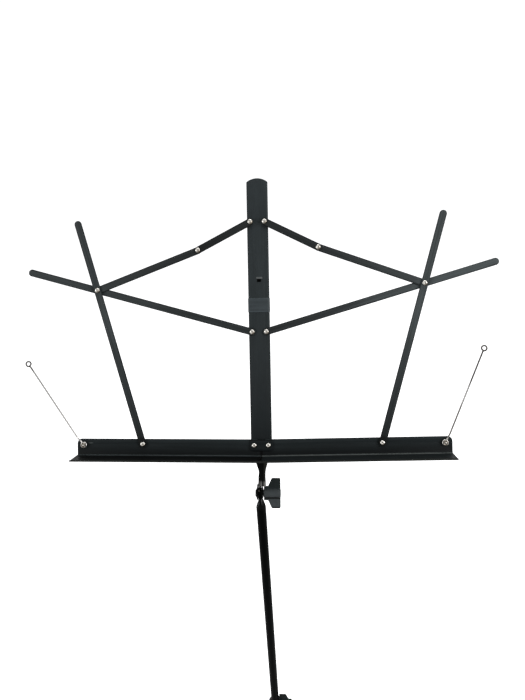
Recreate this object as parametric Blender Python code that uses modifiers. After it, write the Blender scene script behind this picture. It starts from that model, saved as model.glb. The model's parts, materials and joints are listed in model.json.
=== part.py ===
"""Folding music stand: wire desk on a telescopic column with a folding tripod.

Z is up, the desk faces -Y and the origin is the middle of the column's foot on
the floor.  Sizes are metres.
"""
from math import asin, atan2, cos, degrees, pi, radians, sin, sqrt

import bmesh
import bpy
from mathutils import Matrix, Vector

MM = 0.001

# Running clearances
GAP = 0.3 * MM          # between pieces that move past each other
SEAT = 0.15 * MM        # under a rivet head or where a piece is seated
HOLE_GAP = 0.25 * MM    # round a rivet, pin or screw in its hole

# Desk: flat steel strips in three plies in front of the channel
PLY = 1.2 * MM          # strip and sheet thickness
TAPE = 0.3 * MM         # thickness of the tape band
ARM_WIDTH = 8.8 * MM
DESK_LEAN = 31.14       # degrees back from upright
TILT_Z = 1050.0 * MM    # height of the tilt bolt
DESK_SHIFT = 3.0 * MM   # desk centre to the right of the column
PIVOT_RISE = 60.55 * MM     # ledge pivots above the tilt bolt, along the desk
PIVOT_FORE = 2.98 * MM      # channel face in front of the tilt bolt

# Linkage of one side of the desk, seen square to the desk
PIVOT_HALF = 8.75 * MM      # channel rivets either side of the centre line
ARM_PIVOT_V = 140.4 * MM    # lower arm rivet above the ledge rivet
LINK_PIVOT_V = 275.1 * MM   # inner link rivet above the ledge rivet
LEDGE_ARM_U = 139.4 * MM    # ledge rivet to vertical arm rivet
LEDGE_ARM_V = 1.1 * MM
LEDGE_RISE = 0.65           # degrees, outer ends above the inner ends
VERTICAL_LOW = 200.0 * MM   # vertical arm, ledge to star
LOWER_IN = 200.0 * MM       # lower arm, channel to star
VERTICAL_TIP = 90.0 * MM    # beyond the star
LOWER_TIP = 91.8 * MM
INNER_LINK = 73.0 * MM
INNER_TURN = -26.891         # degrees above outward as it stands

# Ledge
LEDGE_HALF = 232.5 * MM     # centre line to outer end
LEDGE_TOP = 7.53 * MM       # above the pivots
LEDGE_BEND = 13.82 * MM     # below the pivots
LIP_DEPTH = 31.3 * MM
LIP_ANGLE = 93.7            # degrees between face and lip
BEND_RADIUS = 2.2 * MM
SEAM = 0.7 * MM             # between the two ledge halves
LEDGE_ROUND = 6.2 * MM      # upper outer corner
EYELET_IN = 9.15 * MM       # wire eyelet in from the outer end

# Channel
CHANNEL_HALF = 13.04 * MM
CHANNEL_DEPTH = 4.0 * MM
CHANNEL_TOP = 328.8 * MM
CHANNEL_LOW = 12.0 * MM     # below the ledge pivots
CHANNEL_CROWN = 4.6 * MM    # height of the arched top
CHANNEL_ROUND = 1.8 * MM
TAPE_LOW = 164.9 * MM
TAPE_HIGH = 182.0 * MM
SLOT_U = 0.55 * MM
SLOT_V = 203.7 * MM
SLOT_WIDE = 4.95 * MM
SLOT_HIGH = 3.6 * MM
KEEPER_DEEP = 3.4 * MM      # blind pocket behind the slot
KEEPER_WALL = 0.8 * MM
HOOK_WIDE = 7.4 * MM
HOOK_HIGH = 4.6 * MM
HOOK_RISE = 1.2 * MM
COVER_HALF = 14.3 * MM
COVER_TOP = 6.9 * MM
COVER_LOW = 7.1 * MM
COVER_ROUND = 4.0 * MM

# Rivets
SHANK = 1.6 * MM
HEAD = 3.1 * MM
HEAD_RISE = 1.5 * MM
TAIL = 2.6 * MM
TAIL_RISE = 0.8 * MM
SPACER = 3.0 * MM

# Page wires
WIRE = 0.95 * MM            # radius
COIL = 3.0 * MM             # radius to the wire's middle
COIL_PITCH = 2.1 * MM
COIL_TURNS = 1.25
WIRE_BEND = 68              # degrees the wire turns to leave a loop
CRANK_LEN = 9.0 * MM        # the arm steps forward here, clear of the rivets
CRANK_RISE = 2.9 * MM
RING = 3.1 * MM
WIRE_REACH = 122.6 * MM     # eyelet to the middle of the end ring
WIRE_LEFT = 57.3            # degrees above outward, as they stand
WIRE_RIGHT = 68.3           # degrees above outward
EYELET_HEAD = 2.9 * MM
EYELET_POST = 1.75 * MM
EYELET_THICK = 0.8 * MM

# Tilt joint
EAR = 8.5 * MM              # radius
EAR_THICK = 1.2 * MM
EAR_PLAY = 0.5 * MM         # each side of the tang
EAR_DISH = 0.8 * MM         # dished face proud of the ear, screw side
NUT_DISH = 1.5 * MM         # and on the nut side
TANG_HALF = 1.7 * MM
BOLT = 2.7 * MM             # radius
NECK_HALF = 7.15 * MM
WAIST_HALF = 4.0 * MM
BRACKET_HALF = 11.3 * MM
BRACKET_HIGH = 16.0 * MM    # bracket plate above the ledge pivots
NUT_R = 5.0 * MM
NUT_THICK = 0.6 * MM

# Wing screws
WING_ROOT = 8.7 * MM        # half height of the blade's stepped root
WING_ROOT_LEN = 5.6 * MM
WING_HUB = 5.2 * MM         # radius
WING_LEN = 21.3 * MM        # seat to hub end
WING_SPAN = 18.5 * MM       # half
WING_TIP = 11.7 * MM
WING_THICK = 2.8 * MM
TILT_WING_TURN = 45.4       # degrees of the blade back from upright
MIDDLE_WING_TURN = 162      # degrees about the clamp screws
BASE_WING_TURN = 128

# Column
UPPER_R = 6.2 * MM
MIDDLE_R = 7.8 * MM
BASE_R = 9.4 * MM
UPPER_WALL = 0.9 * MM
UPPER_LOW = 505.0 * MM      # height of its lower end
MIDDLE_LOW = 113.0 * MM
MIDDLE_TOP = 558.0 * MM
BASE_TOP = 455.0 * MM
SHOULDER = 25.0 * MM        # tang to full tube, below the tilt bolt
CLAMP_ABOVE = 16.0 * MM     # clamp collar above the tube it caps
CLAMP_BELOW = 13.0 * MM
CLAMP_WALL = 2.6 * MM
CLAMP_BOSS = 5.4 * MM       # radius
CLAMP_BOSS_OUT = 15.0 * MM  # boss end from the column axis
CLAMP_SCREW_UP = 9.0 * MM   # screw above the capped tube's end
CLAMP_SCREW = 2.5 * MM      # radius
PLUG_R = 10.6 * MM
PLUG_HIGH = 5.0 * MM
PLUG_STUB = 12.0 * MM

# Tripod
LEG_AZIMUTHS = (-90.0, 30.0, 150.0)
LEG_PIVOT_R = 22.0 * MM     # pivots from the column axis
HUB_Z = 13.0 * MM           # stay pivots above the floor
STAY_LEN = 150.0 * MM       # also leg pivot to brace pin
LEG_SPREAD = 55.0           # degrees from upright
FOOT_LIFT = 9.56 * MM       # lower end of a leg's strip above the floor
LEG_HALF = 7.0 * MM
LEG_BACK = 6.3 * MM         # web outside the pivot line
LEG_OPEN = 4.7 * MM         # flange edges inside the pivot line
LEG_WALL = 1.2 * MM
LEG_END = 6.0 * MM          # leg beyond its top pivot
STAY_HALF = 4.5 * MM
STAY_THICK = 3.0 * MM
PIN = 2.2 * MM
PIN_HEAD = 3.5 * MM
PIN_HEAD_THICK = 1.0 * MM
LUG_THICK = 8.0 * MM
LUG_R = 4.5 * MM
CHEEK = 2.5 * MM
CHEEK_R = 5.0 * MM
COLLAR_WALL = 4.8 * MM
COLLAR_HALF = 9.0 * MM
HUB_HALF = 7.0 * MM
FOOT_HALF = 9.0 * MM
FOOT_BACK = 9.6 * MM
FOOT_OPEN = 8.0 * MM
FOOT_START = 16.0 * MM      # foot's mouth before the leg's end
FOOT_PAST = 20.0 * MM
COLLAR_SCREW_AZ = 90.0

# Plies in front of the channel face
PLY_0 = TAPE + SEAT + SEAT
PLY_0_TOP = PLY_0 + PLY
PLY_1 = PLY_0_TOP + GAP
PLY_1_TOP = PLY_1 + PLY
PLY_2 = PLY_1_TOP + GAP
PLY_2_TOP = PLY_2 + PLY

# Worked out from the sizes above
EYELET_U = LEDGE_HALF - PIVOT_HALF - EYELET_IN
HUB_STAY_Z = HUB_Z + STAY_LEN * cos(radians(LEG_SPREAD))
LEG_LEN = STAY_LEN + (HUB_STAY_Z - FOOT_LIFT) / cos(radians(LEG_SPREAD))
COLLAR_Z = HUB_Z + 2.0 * STAY_LEN * cos(radians(LEG_SPREAD))


# ---------------------------------------------------------------- scene tools
for old in list(bpy.data.objects):
    bpy.data.objects.remove(old, do_unlink=True)

parts = bpy.data.collections.new("music_stand")
bpy.context.scene.collection.children.link(parts)
cutters = bpy.data.collections.new("cutters")
bpy.context.scene.collection.children.link(cutters)
cutters.hide_render = True


def material(name, colour, roughness, metallic):
    made = bpy.data.materials.new(name)
    made.use_nodes = True
    shader = made.node_tree.nodes["Principled BSDF"]
    shader.inputs["Base Color"].default_value = (*colour, 1.0)
    shader.inputs["Roughness"].default_value = roughness
    shader.inputs["Metallic"].default_value = metallic
    return made


BLACK = material("black_lacquer", (0.018, 0.020, 0.021), 0.42, 0.0)
NICKEL = material("bright_nickel", (0.72, 0.71, 0.68), 0.22, 1.0)
RUBBER = material("black_rubber", (0.012, 0.012, 0.012), 0.85, 0.0)
PLASTIC = material("black_moulding", (0.016, 0.017, 0.018), 0.5, 0.0)
CLEAR = material("clear_tape", (0.055, 0.06, 0.062), 0.15, 0.0)


def link(name, mesh, mat, where=parts):
    obj = bpy.data.objects.new(name, mesh)
    where.objects.link(obj)
    obj.data.materials.clear()
    obj.data.materials.append(mat)
    if where is cutters:
        obj.hide_render = True
        obj.display_type = "WIRE"
    return obj


def empty(name, parent=None, location=(0, 0, 0), rotation=(0, 0, 0)):
    obj = bpy.data.objects.new(name, None)
    parts.objects.link(obj)
    obj.empty_display_size = 0.02
    obj.parent = parent
    obj.location = location
    obj.rotation_euler = rotation
    return obj


def put(obj, parent, location=(0, 0, 0), rotation=(0, 0, 0)):
    obj.parent = parent
    obj.location = location
    obj.rotation_euler = rotation
    return obj


PLANES = {
    "xy": Matrix.Identity(4),
    "yz": Matrix(((0, 0, 1, 0), (1, 0, 0, 0), (0, 1, 0, 0), (0, 0, 0, 1))),
    "zx": Matrix(((0, 1, 0, 0), (0, 0, 1, 0), (1, 0, 0, 0), (0, 0, 0, 1))),
}


def prism(name, loops, low, high, mat, plane="xy", where=parts):
    """A flat outline, with any holes, given its thickness from low to high."""
    curve = bpy.data.curves.new(name, "CURVE")
    curve.dimensions = "2D"
    curve.fill_mode = "BOTH"
    curve.extrude = (high - low) / 2
    for loop in loops:
        spline = curve.splines.new("POLY")
        spline.points.add(len(loop) - 1)
        for point, (x, y) in zip(spline.points, loop):
            point.co = (x, y, 0, 1)
        spline.use_cyclic_u = True
    guide = bpy.data.objects.new(name + "_outline", curve)
    cutters.objects.link(guide)
    mesh = mesh_of(guide)
    mesh.transform(Matrix.Translation((0, 0, (low + high) / 2)))
    mesh.transform(PLANES[plane])
    return link(name, mesh, mat, where)


def mesh_of(guide):
    """The welded mesh of a curve, which is then removed."""
    bpy.context.view_layer.update()
    graph = bpy.context.evaluated_depsgraph_get()
    mesh = bpy.data.meshes.new_from_object(guide.evaluated_get(graph))
    weld(mesh)
    curve = guide.data
    bpy.data.objects.remove(guide, do_unlink=True)
    bpy.data.curves.remove(curve)
    return mesh


def weld(mesh):
    work = bmesh.new()
    work.from_mesh(mesh)
    bmesh.ops.remove_doubles(work, verts=work.verts, dist=1e-6)
    bmesh.ops.recalc_face_normals(work, faces=work.faces)
    work.to_mesh(mesh)
    work.free()


def turned(name, profile, mat, steps=16, where=parts):
    """A profile of (radius, height) points, top to bottom, turned about Z."""
    mesh = bpy.data.meshes.new(name)
    work = bmesh.new()
    verts = [work.verts.new((r, 0, z)) for r, z in profile]
    for a, b in zip(verts, verts[1:]):
        work.edges.new((a, b))
    if profile[0][0] > 0:
        work.edges.new((verts[-1], verts[0]))
    work.to_mesh(mesh)
    work.free()
    obj = link(name, mesh, mat, where)
    screw = obj.modifiers.new("turn", "SCREW")
    screw.axis = "Z"
    screw.steps = steps
    screw.render_steps = steps
    screw.use_merge_vertices = True
    screw.merge_threshold = 1e-5
    screw.use_smooth_shade = True
    return obj


def cylinder(name, radius, low, high, mat=BLACK, steps=16, where=cutters):
    return turned(name, [(0, high), (radius, high), (radius, low), (0, low)],
                  mat, steps, where)


def boolean(obj, other, operation):
    step = obj.modifiers.new(other.name, "BOOLEAN")
    step.operation = operation
    step.solver = "EXACT"
    step.object = other
    return obj


def cut(obj, other, location=(0, 0, 0), rotation=(0, 0, 0)):
    return boolean(obj, put(other, obj, location, rotation), "DIFFERENCE")


def join(obj, other, location=(0, 0, 0), rotation=(0, 0, 0)):
    return boolean(obj, put(other, obj, location, rotation), "UNION")


def arc(x, y, radius, start, stop, count):
    points = []
    for k in range(count + 1):
        a = radians(start + (stop - start) * k / count)
        points.append((x + radius * cos(a), y + radius * sin(a)))
    return points


def circle(x, y, radius, count=12):
    return arc(x, y, radius, 0, 360 - 360 / count, count - 1)


def strip(start, stop, half, count=8):
    """Outline of a bar along X with round ends centred on start and stop."""
    return arc(start, 0, half, 90, 270, count) + arc(stop, 0, half, -90, 90, count)


def meet(a, ra, b, rb, side):
    """The point at ra from a and rb from b, left (+1) or right (-1) of a to b."""
    gap = b - a
    along = (ra * ra - rb * rb + gap.length_squared) / (2 * gap.length)
    across = sqrt(ra * ra - along * along)
    unit = gap.normalized()
    return a + unit * along + Vector((-unit.y, unit.x)) * across * side


def bearing(a, b):
    return atan2(b.y - a.y, b.x - a.x)


# ------------------------------------------------------------ linkage at rest
ledge_pivot = Vector((PIVOT_HALF, 0))
arm_pivot = Vector((PIVOT_HALF, ARM_PIVOT_V))
link_pivot = Vector((PIVOT_HALF, LINK_PIVOT_V))
rise = radians(LEDGE_RISE)
ledge_arm = ledge_pivot + Vector((LEDGE_ARM_U * cos(rise) - LEDGE_ARM_V * sin(rise),
                                  LEDGE_ARM_U * sin(rise) + LEDGE_ARM_V * cos(rise)))
star = meet(ledge_arm, VERTICAL_LOW, arm_pivot, LOWER_IN, -1)
inner_turn = radians(INNER_TURN)
knee = link_pivot + INNER_LINK * Vector((cos(inner_turn), sin(inner_turn)))
outer_link = (knee - star).length


# --------------------------------------------------------------- empty frames
tilt_axis = empty("tilt_axis", None, (0, 0, TILT_Z), (radians(90 - DESK_LEAN), 0, 0))
desk_plane = empty("desk_plane", tilt_axis, (DESK_SHIFT, PIVOT_RISE, PIVOT_FORE))


def desk_empty(name, point, angle, side):
    """An empty on a desk pivot, its X axis along the bar that turns there."""
    turn = angle if side > 0 else pi - angle
    return empty(name, desk_plane, (side * point.x, point.y, 0), (0, 0, turn))


# -------------------------------------------------------------------- rivets
def dome(base, radius, height):
    """Half profile of a rivet head with a small dimple, from its middle out."""
    top = base + height
    return [(0, top - 0.3 * height), (0.26 * radius, top - 0.25 * height),
            (0.40 * radius, top), (0.78 * radius, top - 0.2 * height),
            (radius, base + 0.35 * height), (radius, base)]


def through_rivet(name, parent, place, seat, collars, tail_seat, tail=TAIL):
    """A rivet with its head on seat, collars of (radius, top, low) and a tail."""
    points = dome(seat + SEAT, HEAD, HEAD_RISE)
    points.append((SHANK, seat + SEAT))
    for radius, top, low in collars:
        points += [(SHANK, top), (radius, top), (radius, low), (SHANK, low)]
    low = tail_seat - SEAT
    points += [(SHANK, low), (tail, low), (tail, low - 0.6 * TAIL_RISE),
               (0.7 * tail, low - TAIL_RISE), (0, low - TAIL_RISE)]
    rivet = turned(name, points, NICKEL, 10)
    return put(rivet, parent, (place[0], place[1], 0))


# ------------------------------------------------------------------- channel
def channel_section():
    half, round_, depth = CHANNEL_HALF, CHANNEL_ROUND, CHANNEL_DEPTH
    inner = round_ - PLY
    outer = [(-depth, half)] + arc(-round_, half - round_, round_, 90, 0, 4)
    outer += arc(-round_, round_ - half, round_, 0, -90, 4) + [(-depth, -half)]
    inside = [(-depth, PLY - half)] + arc(-round_, round_ - half, inner, -90, 0, 3)
    inside += arc(-round_, half - round_, inner, 0, 90, 3) + [(-depth, half - PLY)]
    return outer + inside


def make_channel():
    # The section is drawn as (depth, width) and runs up the desk.
    body = prism("desk_channel", [channel_section()], -CHANNEL_LOW,
                 CHANNEL_TOP + GAP, BLACK, "zx")
    put(body, desk_plane)
    radius = (CHANNEL_HALF ** 2 + CHANNEL_CROWN ** 2) / (2 * CHANNEL_CROWN)
    reach = degrees(asin(min(0.99, (CHANNEL_HALF + 1 * MM) / radius)))
    crown = arc(0, CHANNEL_TOP - radius, radius, 90 - reach, 90 + reach, 12)
    high = CHANNEL_TOP + 4 * MM
    crown += [(-CHANNEL_HALF - 1 * MM, high), (CHANNEL_HALF + 1 * MM, high)]
    cut(body, prism("channel_crown", [crown], -CHANNEL_DEPTH - 1 * MM, 1 * MM,
                    BLACK, "xy", cutters))
    holes = 0
    for side in (1, -1):
        for pivot in (ledge_pivot, arm_pivot, link_pivot):
            holes += 1
            hole = cylinder(f"channel_hole_{holes}", SHANK + HOLE_GAP,
                            -PLY - 1 * MM, 1 * MM, BLACK, 12)
            cut(body, hole, (side * pivot.x, pivot.y, 0))
    slot = [(SLOT_U + x * SLOT_WIDE / 2, SLOT_V + y * SLOT_HIGH / 2)
            for x, y in ((-1, -1), (1, -1), (1, 1), (-1, 1))]
    margin = 2 * MM
    keeper = [(SLOT_U + x * (SLOT_WIDE / 2 + margin), SLOT_V + y * (SLOT_HIGH / 2 + margin))
              for x, y in ((-1, -1), (1, -1), (1, 1), (-1, 1))]
    join(body, prism("slot_keeper", [keeper], -KEEPER_DEEP, -0.5 * PLY, BLACK, "xy", cutters))
    cut(body, prism("channel_slot", [slot], KEEPER_WALL - KEEPER_DEEP, 1 * MM, BLACK, "xy",
                    cutters))
    edge = SLOT_V + SLOT_HIGH / 2
    wedge = [(edge + 0.1 * MM, -0.5 * PLY), (edge + 0.1 * MM, HOOK_RISE),
             (edge + 0.9 * MM, HOOK_RISE), (edge + HOOK_HIGH, -0.1 * MM),
             (edge + HOOK_HIGH, -0.5 * PLY)]
    hook = prism("channel_hook", [wedge[::-1]], SLOT_U - HOOK_WIDE / 2,
                 SLOT_U + HOOK_WIDE / 2, BLACK, "yz", cutters)
    join(body, hook, (0.6 * MM, 0, 0))
    return body


def band_loop(spread):
    """Outline round the channel at a distance, as (depth, width)."""
    half = CHANNEL_HALF + spread
    round_ = CHANNEL_ROUND + spread
    back = -CHANNEL_DEPTH - spread
    front = spread
    loop = [(back, half)] + arc(front - round_, half - round_, round_, 90, 0, 4)
    return loop + arc(front - round_, round_ - half, round_, 0, -90, 4) + [(back, -half)]


def make_tape():
    loops = [band_loop(SEAT + TAPE), band_loop(SEAT)]
    band = prism("tape_band", loops, TAPE_LOW, TAPE_HIGH, CLEAR, "zx")
    return put(band, desk_plane)


def make_cover():
    half, r = COVER_HALF, COVER_ROUND
    outline = arc(half - r, r - COVER_LOW, r, -90, 0, 4)
    outline += [(half, COVER_TOP), (-half, COVER_TOP)]
    outline += arc(r - half, r - COVER_LOW, r, 180, 270, 4)
    holes = [circle(side * PIVOT_HALF, 0, SHANK + HOLE_GAP) for side in (1, -1)]
    cover = prism("cover_plate", [outline] + holes, PLY_1, PLY_1_TOP, BLACK)
    return put(cover, desk_plane)


make_channel()
make_tape()
make_cover()


# -------------------------------------------------------------------- ledges
def ledge_section():
    """L outline as (height, depth): the face, the bend and the lip."""
    lip = radians(LIP_ANGLE)
    out = Vector((cos(lip), sin(lip)))
    up = Vector((sin(lip), -cos(lip)))
    middle_n = PLY_0 + BEND_RADIUS
    middle_v = -LEDGE_BEND + (BEND_RADIUS - BEND_RADIUS * up.y) / up.x
    toward = 90 + LIP_ANGLE
    corner = Vector((-LEDGE_BEND, PLY_0))
    low_tip = corner + out * LIP_DEPTH
    high_tip = low_tip + up * PLY
    loop = [(LEDGE_TOP, PLY_0_TOP), (LEDGE_TOP, PLY_0)]
    loop += arc(middle_v, middle_n, BEND_RADIUS, 270, toward, 4)
    loop += [tuple(low_tip), tuple(high_tip)]
    loop += arc(middle_v, middle_n, BEND_RADIUS - PLY, toward, 270, 4)
    return loop


def make_ledge(side, word):
    pivot = desk_empty(f"ledge_pivot_{word}", ledge_pivot, rise, 1)
    pivot.location.x = side * PIVOT_HALF
    pivot.rotation_euler.z = side * rise
    inner = -(PIVOT_HALF - SEAM / 2)
    outer = LEDGE_HALF - PIVOT_HALF
    low, high = sorted((side * inner, side * outer))
    body = prism(f"ledge_{word}", [ledge_section()], low, high, BLACK, "yz")
    put(body, pivot)
    # The upper inner corner is rounded about the pivot, so that the halves fold.
    clear = PIVOT_HALF - SEAM
    corner = arc(0, 0, clear, 96, 186, 8)
    corner += [(-PIVOT_HALF - 2 * MM, -1 * MM), (-PIVOT_HALF - 2 * MM, LEDGE_TOP + 3 * MM),
               (0, LEDGE_TOP + 3 * MM)]
    corner = [(side * x, y) for x, y in corner][::side]
    cut(body, prism(f"ledge_corner_{word}", [corner], PLY_0 - 1 * MM,
                    PLY_0_TOP + 1 * MM, BLACK, "xy", cutters))
    far = arc(outer - LEDGE_ROUND, LEDGE_TOP - LEDGE_ROUND, LEDGE_ROUND, 0, 90, 8)
    far += [(outer - LEDGE_ROUND, LEDGE_TOP + 3 * MM), (outer + 3 * MM, LEDGE_TOP + 3 * MM),
            (outer + 3 * MM, LEDGE_TOP - LEDGE_ROUND)]
    far = [(side * x, y) for x, y in far][::side]
    cut(body, prism(f"ledge_end_{word}", [far], PLY_0 - 1 * MM, PLY_0_TOP + 1 * MM,
                    BLACK, "xy", cutters))
    for k, (x, y) in enumerate(((0, 0), (LEDGE_ARM_U, LEDGE_ARM_V), (EYELET_U, 0))):
        hole = cylinder(f"ledge_hole_{word}_{k}", SHANK + HOLE_GAP, PLY_0 - 1 * MM,
                        PLY_0_TOP + 1 * MM, BLACK, 12)
        cut(body, hole, (side * x, y, 0))
    return pivot


def bar(name, pivot, length, holes, low):
    """A round-ended strip along its pivot's X axis, drilled at the given places."""
    half = ARM_WIDTH / 2
    loops = [strip(0, length, half)]
    loops += [circle(x, 0, SHANK + HOLE_GAP) for x in holes]
    return put(prism(name, loops, low, low + PLY, BLACK), pivot)


def make_wire(side, word, stand, ledge):
    """A page wire: coil on the eyelet, long arm and end ring."""
    turn = radians(stand if side > 0 else 180 - stand) - side * rise
    pivot = empty(f"wire_pivot_{word}", ledge, (side * EYELET_U, 0, 0), (0, 0, turn))
    start = PLY_0_TOP + GAP + WIRE
    high = start + COIL_PITCH * COIL_TURNS
    bend = radians(WIRE_BEND)
    leave = bend - pi / 2
    # The coil, the bend that lines the arm up with its middle, the crank.
    path = [(COIL * cos(leave + back), COIL * sin(leave + back), high + COIL_PITCH * back / (2 * pi))
            for back in (2 * pi * COIL_TURNS * (k / 15 - 1) for k in range(16))]
    ease = -COIL * sin(leave) / (1 - cos(bend))
    straight = COIL * cos(leave) + ease * sin(bend)
    path += [(straight - ease * sin(turned), -ease * (1 - cos(turned)), high)
             for turned in (bend * (1 - k / 4) for k in range(1, 5))]
    path += [(straight + CRANK_LEN * k / 8, 0, high + CRANK_RISE * (k / 8) ** 2 * (3 - k / 4))
             for k in range(1, 9)]
    # The same bend leads into the end ring.
    high_arm = high + CRANK_RISE
    ease = RING * cos(bend) / (1 - cos(bend))
    straight = WIRE_REACH - RING * sin(bend) - ease * sin(bend)
    path += [(straight + ease * sin(turned), -ease * (1 - cos(turned)), high_arm)
             for turned in (bend * k / 4 for k in range(4))]
    path += [(WIRE_REACH + RING * cos(angle), RING * sin(angle), high_arm)
             for angle in (-pi / 2 - bend + radians(302) * k / 12 for k in range(13))]
    curve = bpy.data.curves.new(f"page_wire_{word}", "CURVE")
    curve.dimensions = "3D"
    curve.bevel_depth = WIRE
    curve.bevel_resolution = 2
    curve.use_fill_caps = True
    spline = curve.splines.new("POLY")
    spline.points.add(len(path) - 1)
    for point, (x, y, z) in zip(spline.points, path):
        point.co = (x, side * y, z, 1)
    guide = bpy.data.objects.new(f"page_wire_{word}_path", curve)
    cutters.objects.link(guide)
    wire = link(f"page_wire_{word}", mesh_of(guide), NICKEL)
    put(wire, pivot)
    return high


def make_eyelet(side, word, ledge, high):
    top = high + WIRE + GAP
    points = [(0, top + EYELET_THICK - 0.3 * MM), (0.3 * EYELET_HEAD, top + EYELET_THICK),
              (0.8 * EYELET_HEAD, top + EYELET_THICK), (EYELET_HEAD, top + 0.4 * EYELET_THICK),
              (EYELET_HEAD, top), (EYELET_POST, top), (EYELET_POST, PLY_0_TOP + SEAT),
              (SHANK, PLY_0_TOP + SEAT), (SHANK, PLY_0 - SEAT), (TAIL, PLY_0 - SEAT),
              (0.8 * TAIL, PLY_0 - SEAT - TAIL_RISE), (0, PLY_0 - SEAT - TAIL_RISE)]
    eyelet = turned(f"wire_eyelet_{word}", points, NICKEL, 10)
    return put(eyelet, ledge, (side * EYELET_U, 0, 0))


def split_rivet_front(name, parent, place):
    """Front half of a star or knee rivet: head and shank in the front ply."""
    points = dome(PLY_2_TOP + SEAT, HEAD, HEAD_RISE)
    points += [(SHANK, PLY_2_TOP + SEAT), (SHANK, PLY_2 - SEAT / 2), (0, PLY_2 - SEAT / 2)]
    return put(turned(name, points, NICKEL, 12), parent, (place, 0, 0))


def make_side(side, word, stand):
    ledge = make_ledge(side, word)
    through_rivet(f"ledge_rivet_{word}", desk_plane, (side * PIVOT_HALF, 0), PLY_1_TOP,
                  [], -PLY - GAP - PLY)
    through_rivet(f"vertical_arm_rivet_{word}", ledge, (side * LEDGE_ARM_U, LEDGE_ARM_V),
                  PLY_2_TOP, [(SPACER, PLY_2 - SEAT, PLY_0_TOP + SEAT)], PLY_0)
    high = make_wire(side, word, stand, ledge)
    make_eyelet(side, word, ledge, high)

    upright = desk_empty(f"vertical_arm_pivot_{word}", ledge_arm,
                         bearing(ledge_arm, star), side)
    bar(f"vertical_arm_{word}", upright, VERTICAL_LOW + VERTICAL_TIP - ARM_WIDTH / 2,
        (0, VERTICAL_LOW), PLY_2)
    split_rivet_front(f"star_rivet_front_{word}", upright, VERTICAL_LOW)

    lower = desk_empty(f"lower_arm_pivot_{word}", arm_pivot, bearing(arm_pivot, star), side)
    bar(f"lower_arm_{word}", lower, LOWER_IN + LOWER_TIP - ARM_WIDTH / 2, (0, LOWER_IN), PLY_0)
    through_rivet(f"lower_arm_rivet_{word}", desk_plane, (side * arm_pivot.x, arm_pivot.y),
                  PLY_0_TOP, [(SPACER, PLY_0 - SEAT, SEAT)], -PLY)
    top = PLY_1_TOP + SEAT / 2
    low = PLY_0 - SEAT
    rear = [(0, top), (SHANK, top), (SHANK, low), (TAIL, low), (TAIL, low - 0.6 * TAIL_RISE),
            (0.7 * TAIL, low - TAIL_RISE), (0, low - TAIL_RISE)]
    put(turned(f"star_rivet_rear_{word}", rear, NICKEL, 12), lower, (LOWER_IN, 0, 0))

    inner = desk_empty(f"inner_link_pivot_{word}", link_pivot, bearing(link_pivot, knee), side)
    bar(f"inner_link_{word}", inner, INNER_LINK, (0, INNER_LINK), PLY_2)
    through_rivet(f"inner_link_rivet_{word}", desk_plane, (side * link_pivot.x, link_pivot.y),
                  PLY_2_TOP, [(SPACER, PLY_2 - SEAT, SEAT)], -PLY)
    split_rivet_front(f"knee_rivet_front_{word}", inner, INNER_LINK)

    outer = desk_empty(f"outer_link_pivot_{word}", star, bearing(star, knee), side)
    bar(f"outer_link_{word}", outer, outer_link, (0, outer_link), PLY_1)
    # The knee's rear half ends flush, because the lower arm folds behind it.
    plug = [(0, top), (SHANK, top), (SHANK, PLY_1), (0, PLY_1)]
    put(turned(f"knee_rivet_rear_{word}", plug, NICKEL, 12), outer, (outer_link, 0, 0))


make_side(1, "right", WIRE_RIGHT)
make_side(-1, "left", WIRE_LEFT)


# --------------------------------------------------------------- tilt bracket
def loft(name, sections, mat, where=parts):
    """Joins outlines of equal point count, and caps both ends."""
    mesh = bpy.data.meshes.new(name)
    work = bmesh.new()
    rings = [[work.verts.new(p) for p in section] for section in sections]
    count = len(rings[0])
    for a, b in zip(rings, rings[1:]):
        for k in range(count):
            nxt = (k + 1) % count
            work.faces.new((a[k], a[nxt], b[nxt], b[k]))
    work.faces.new(rings[0][::-1])
    work.faces.new(rings[-1])
    bmesh.ops.recalc_face_normals(work, faces=work.faces)
    work.to_mesh(mesh)
    work.free()
    return link(name, mesh, mat, where)


def trough(y, centre, half, front, depth, wall):
    """U section across the neck: flat front, two flanges turned back."""
    soft = 0.8 * MM
    return [(centre - half, y, front - depth), (centre - half, y, front - soft),
            (centre - half + soft, y, front), (centre + half - soft, y, front),
            (centre + half, y, front - soft), (centre + half, y, front - depth),
            (centre + half - wall, y, front - depth), (centre + half - wall, y, front - wall),
            (centre - half + wall, y, front - wall), (centre - half + wall, y, front - depth)]


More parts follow.
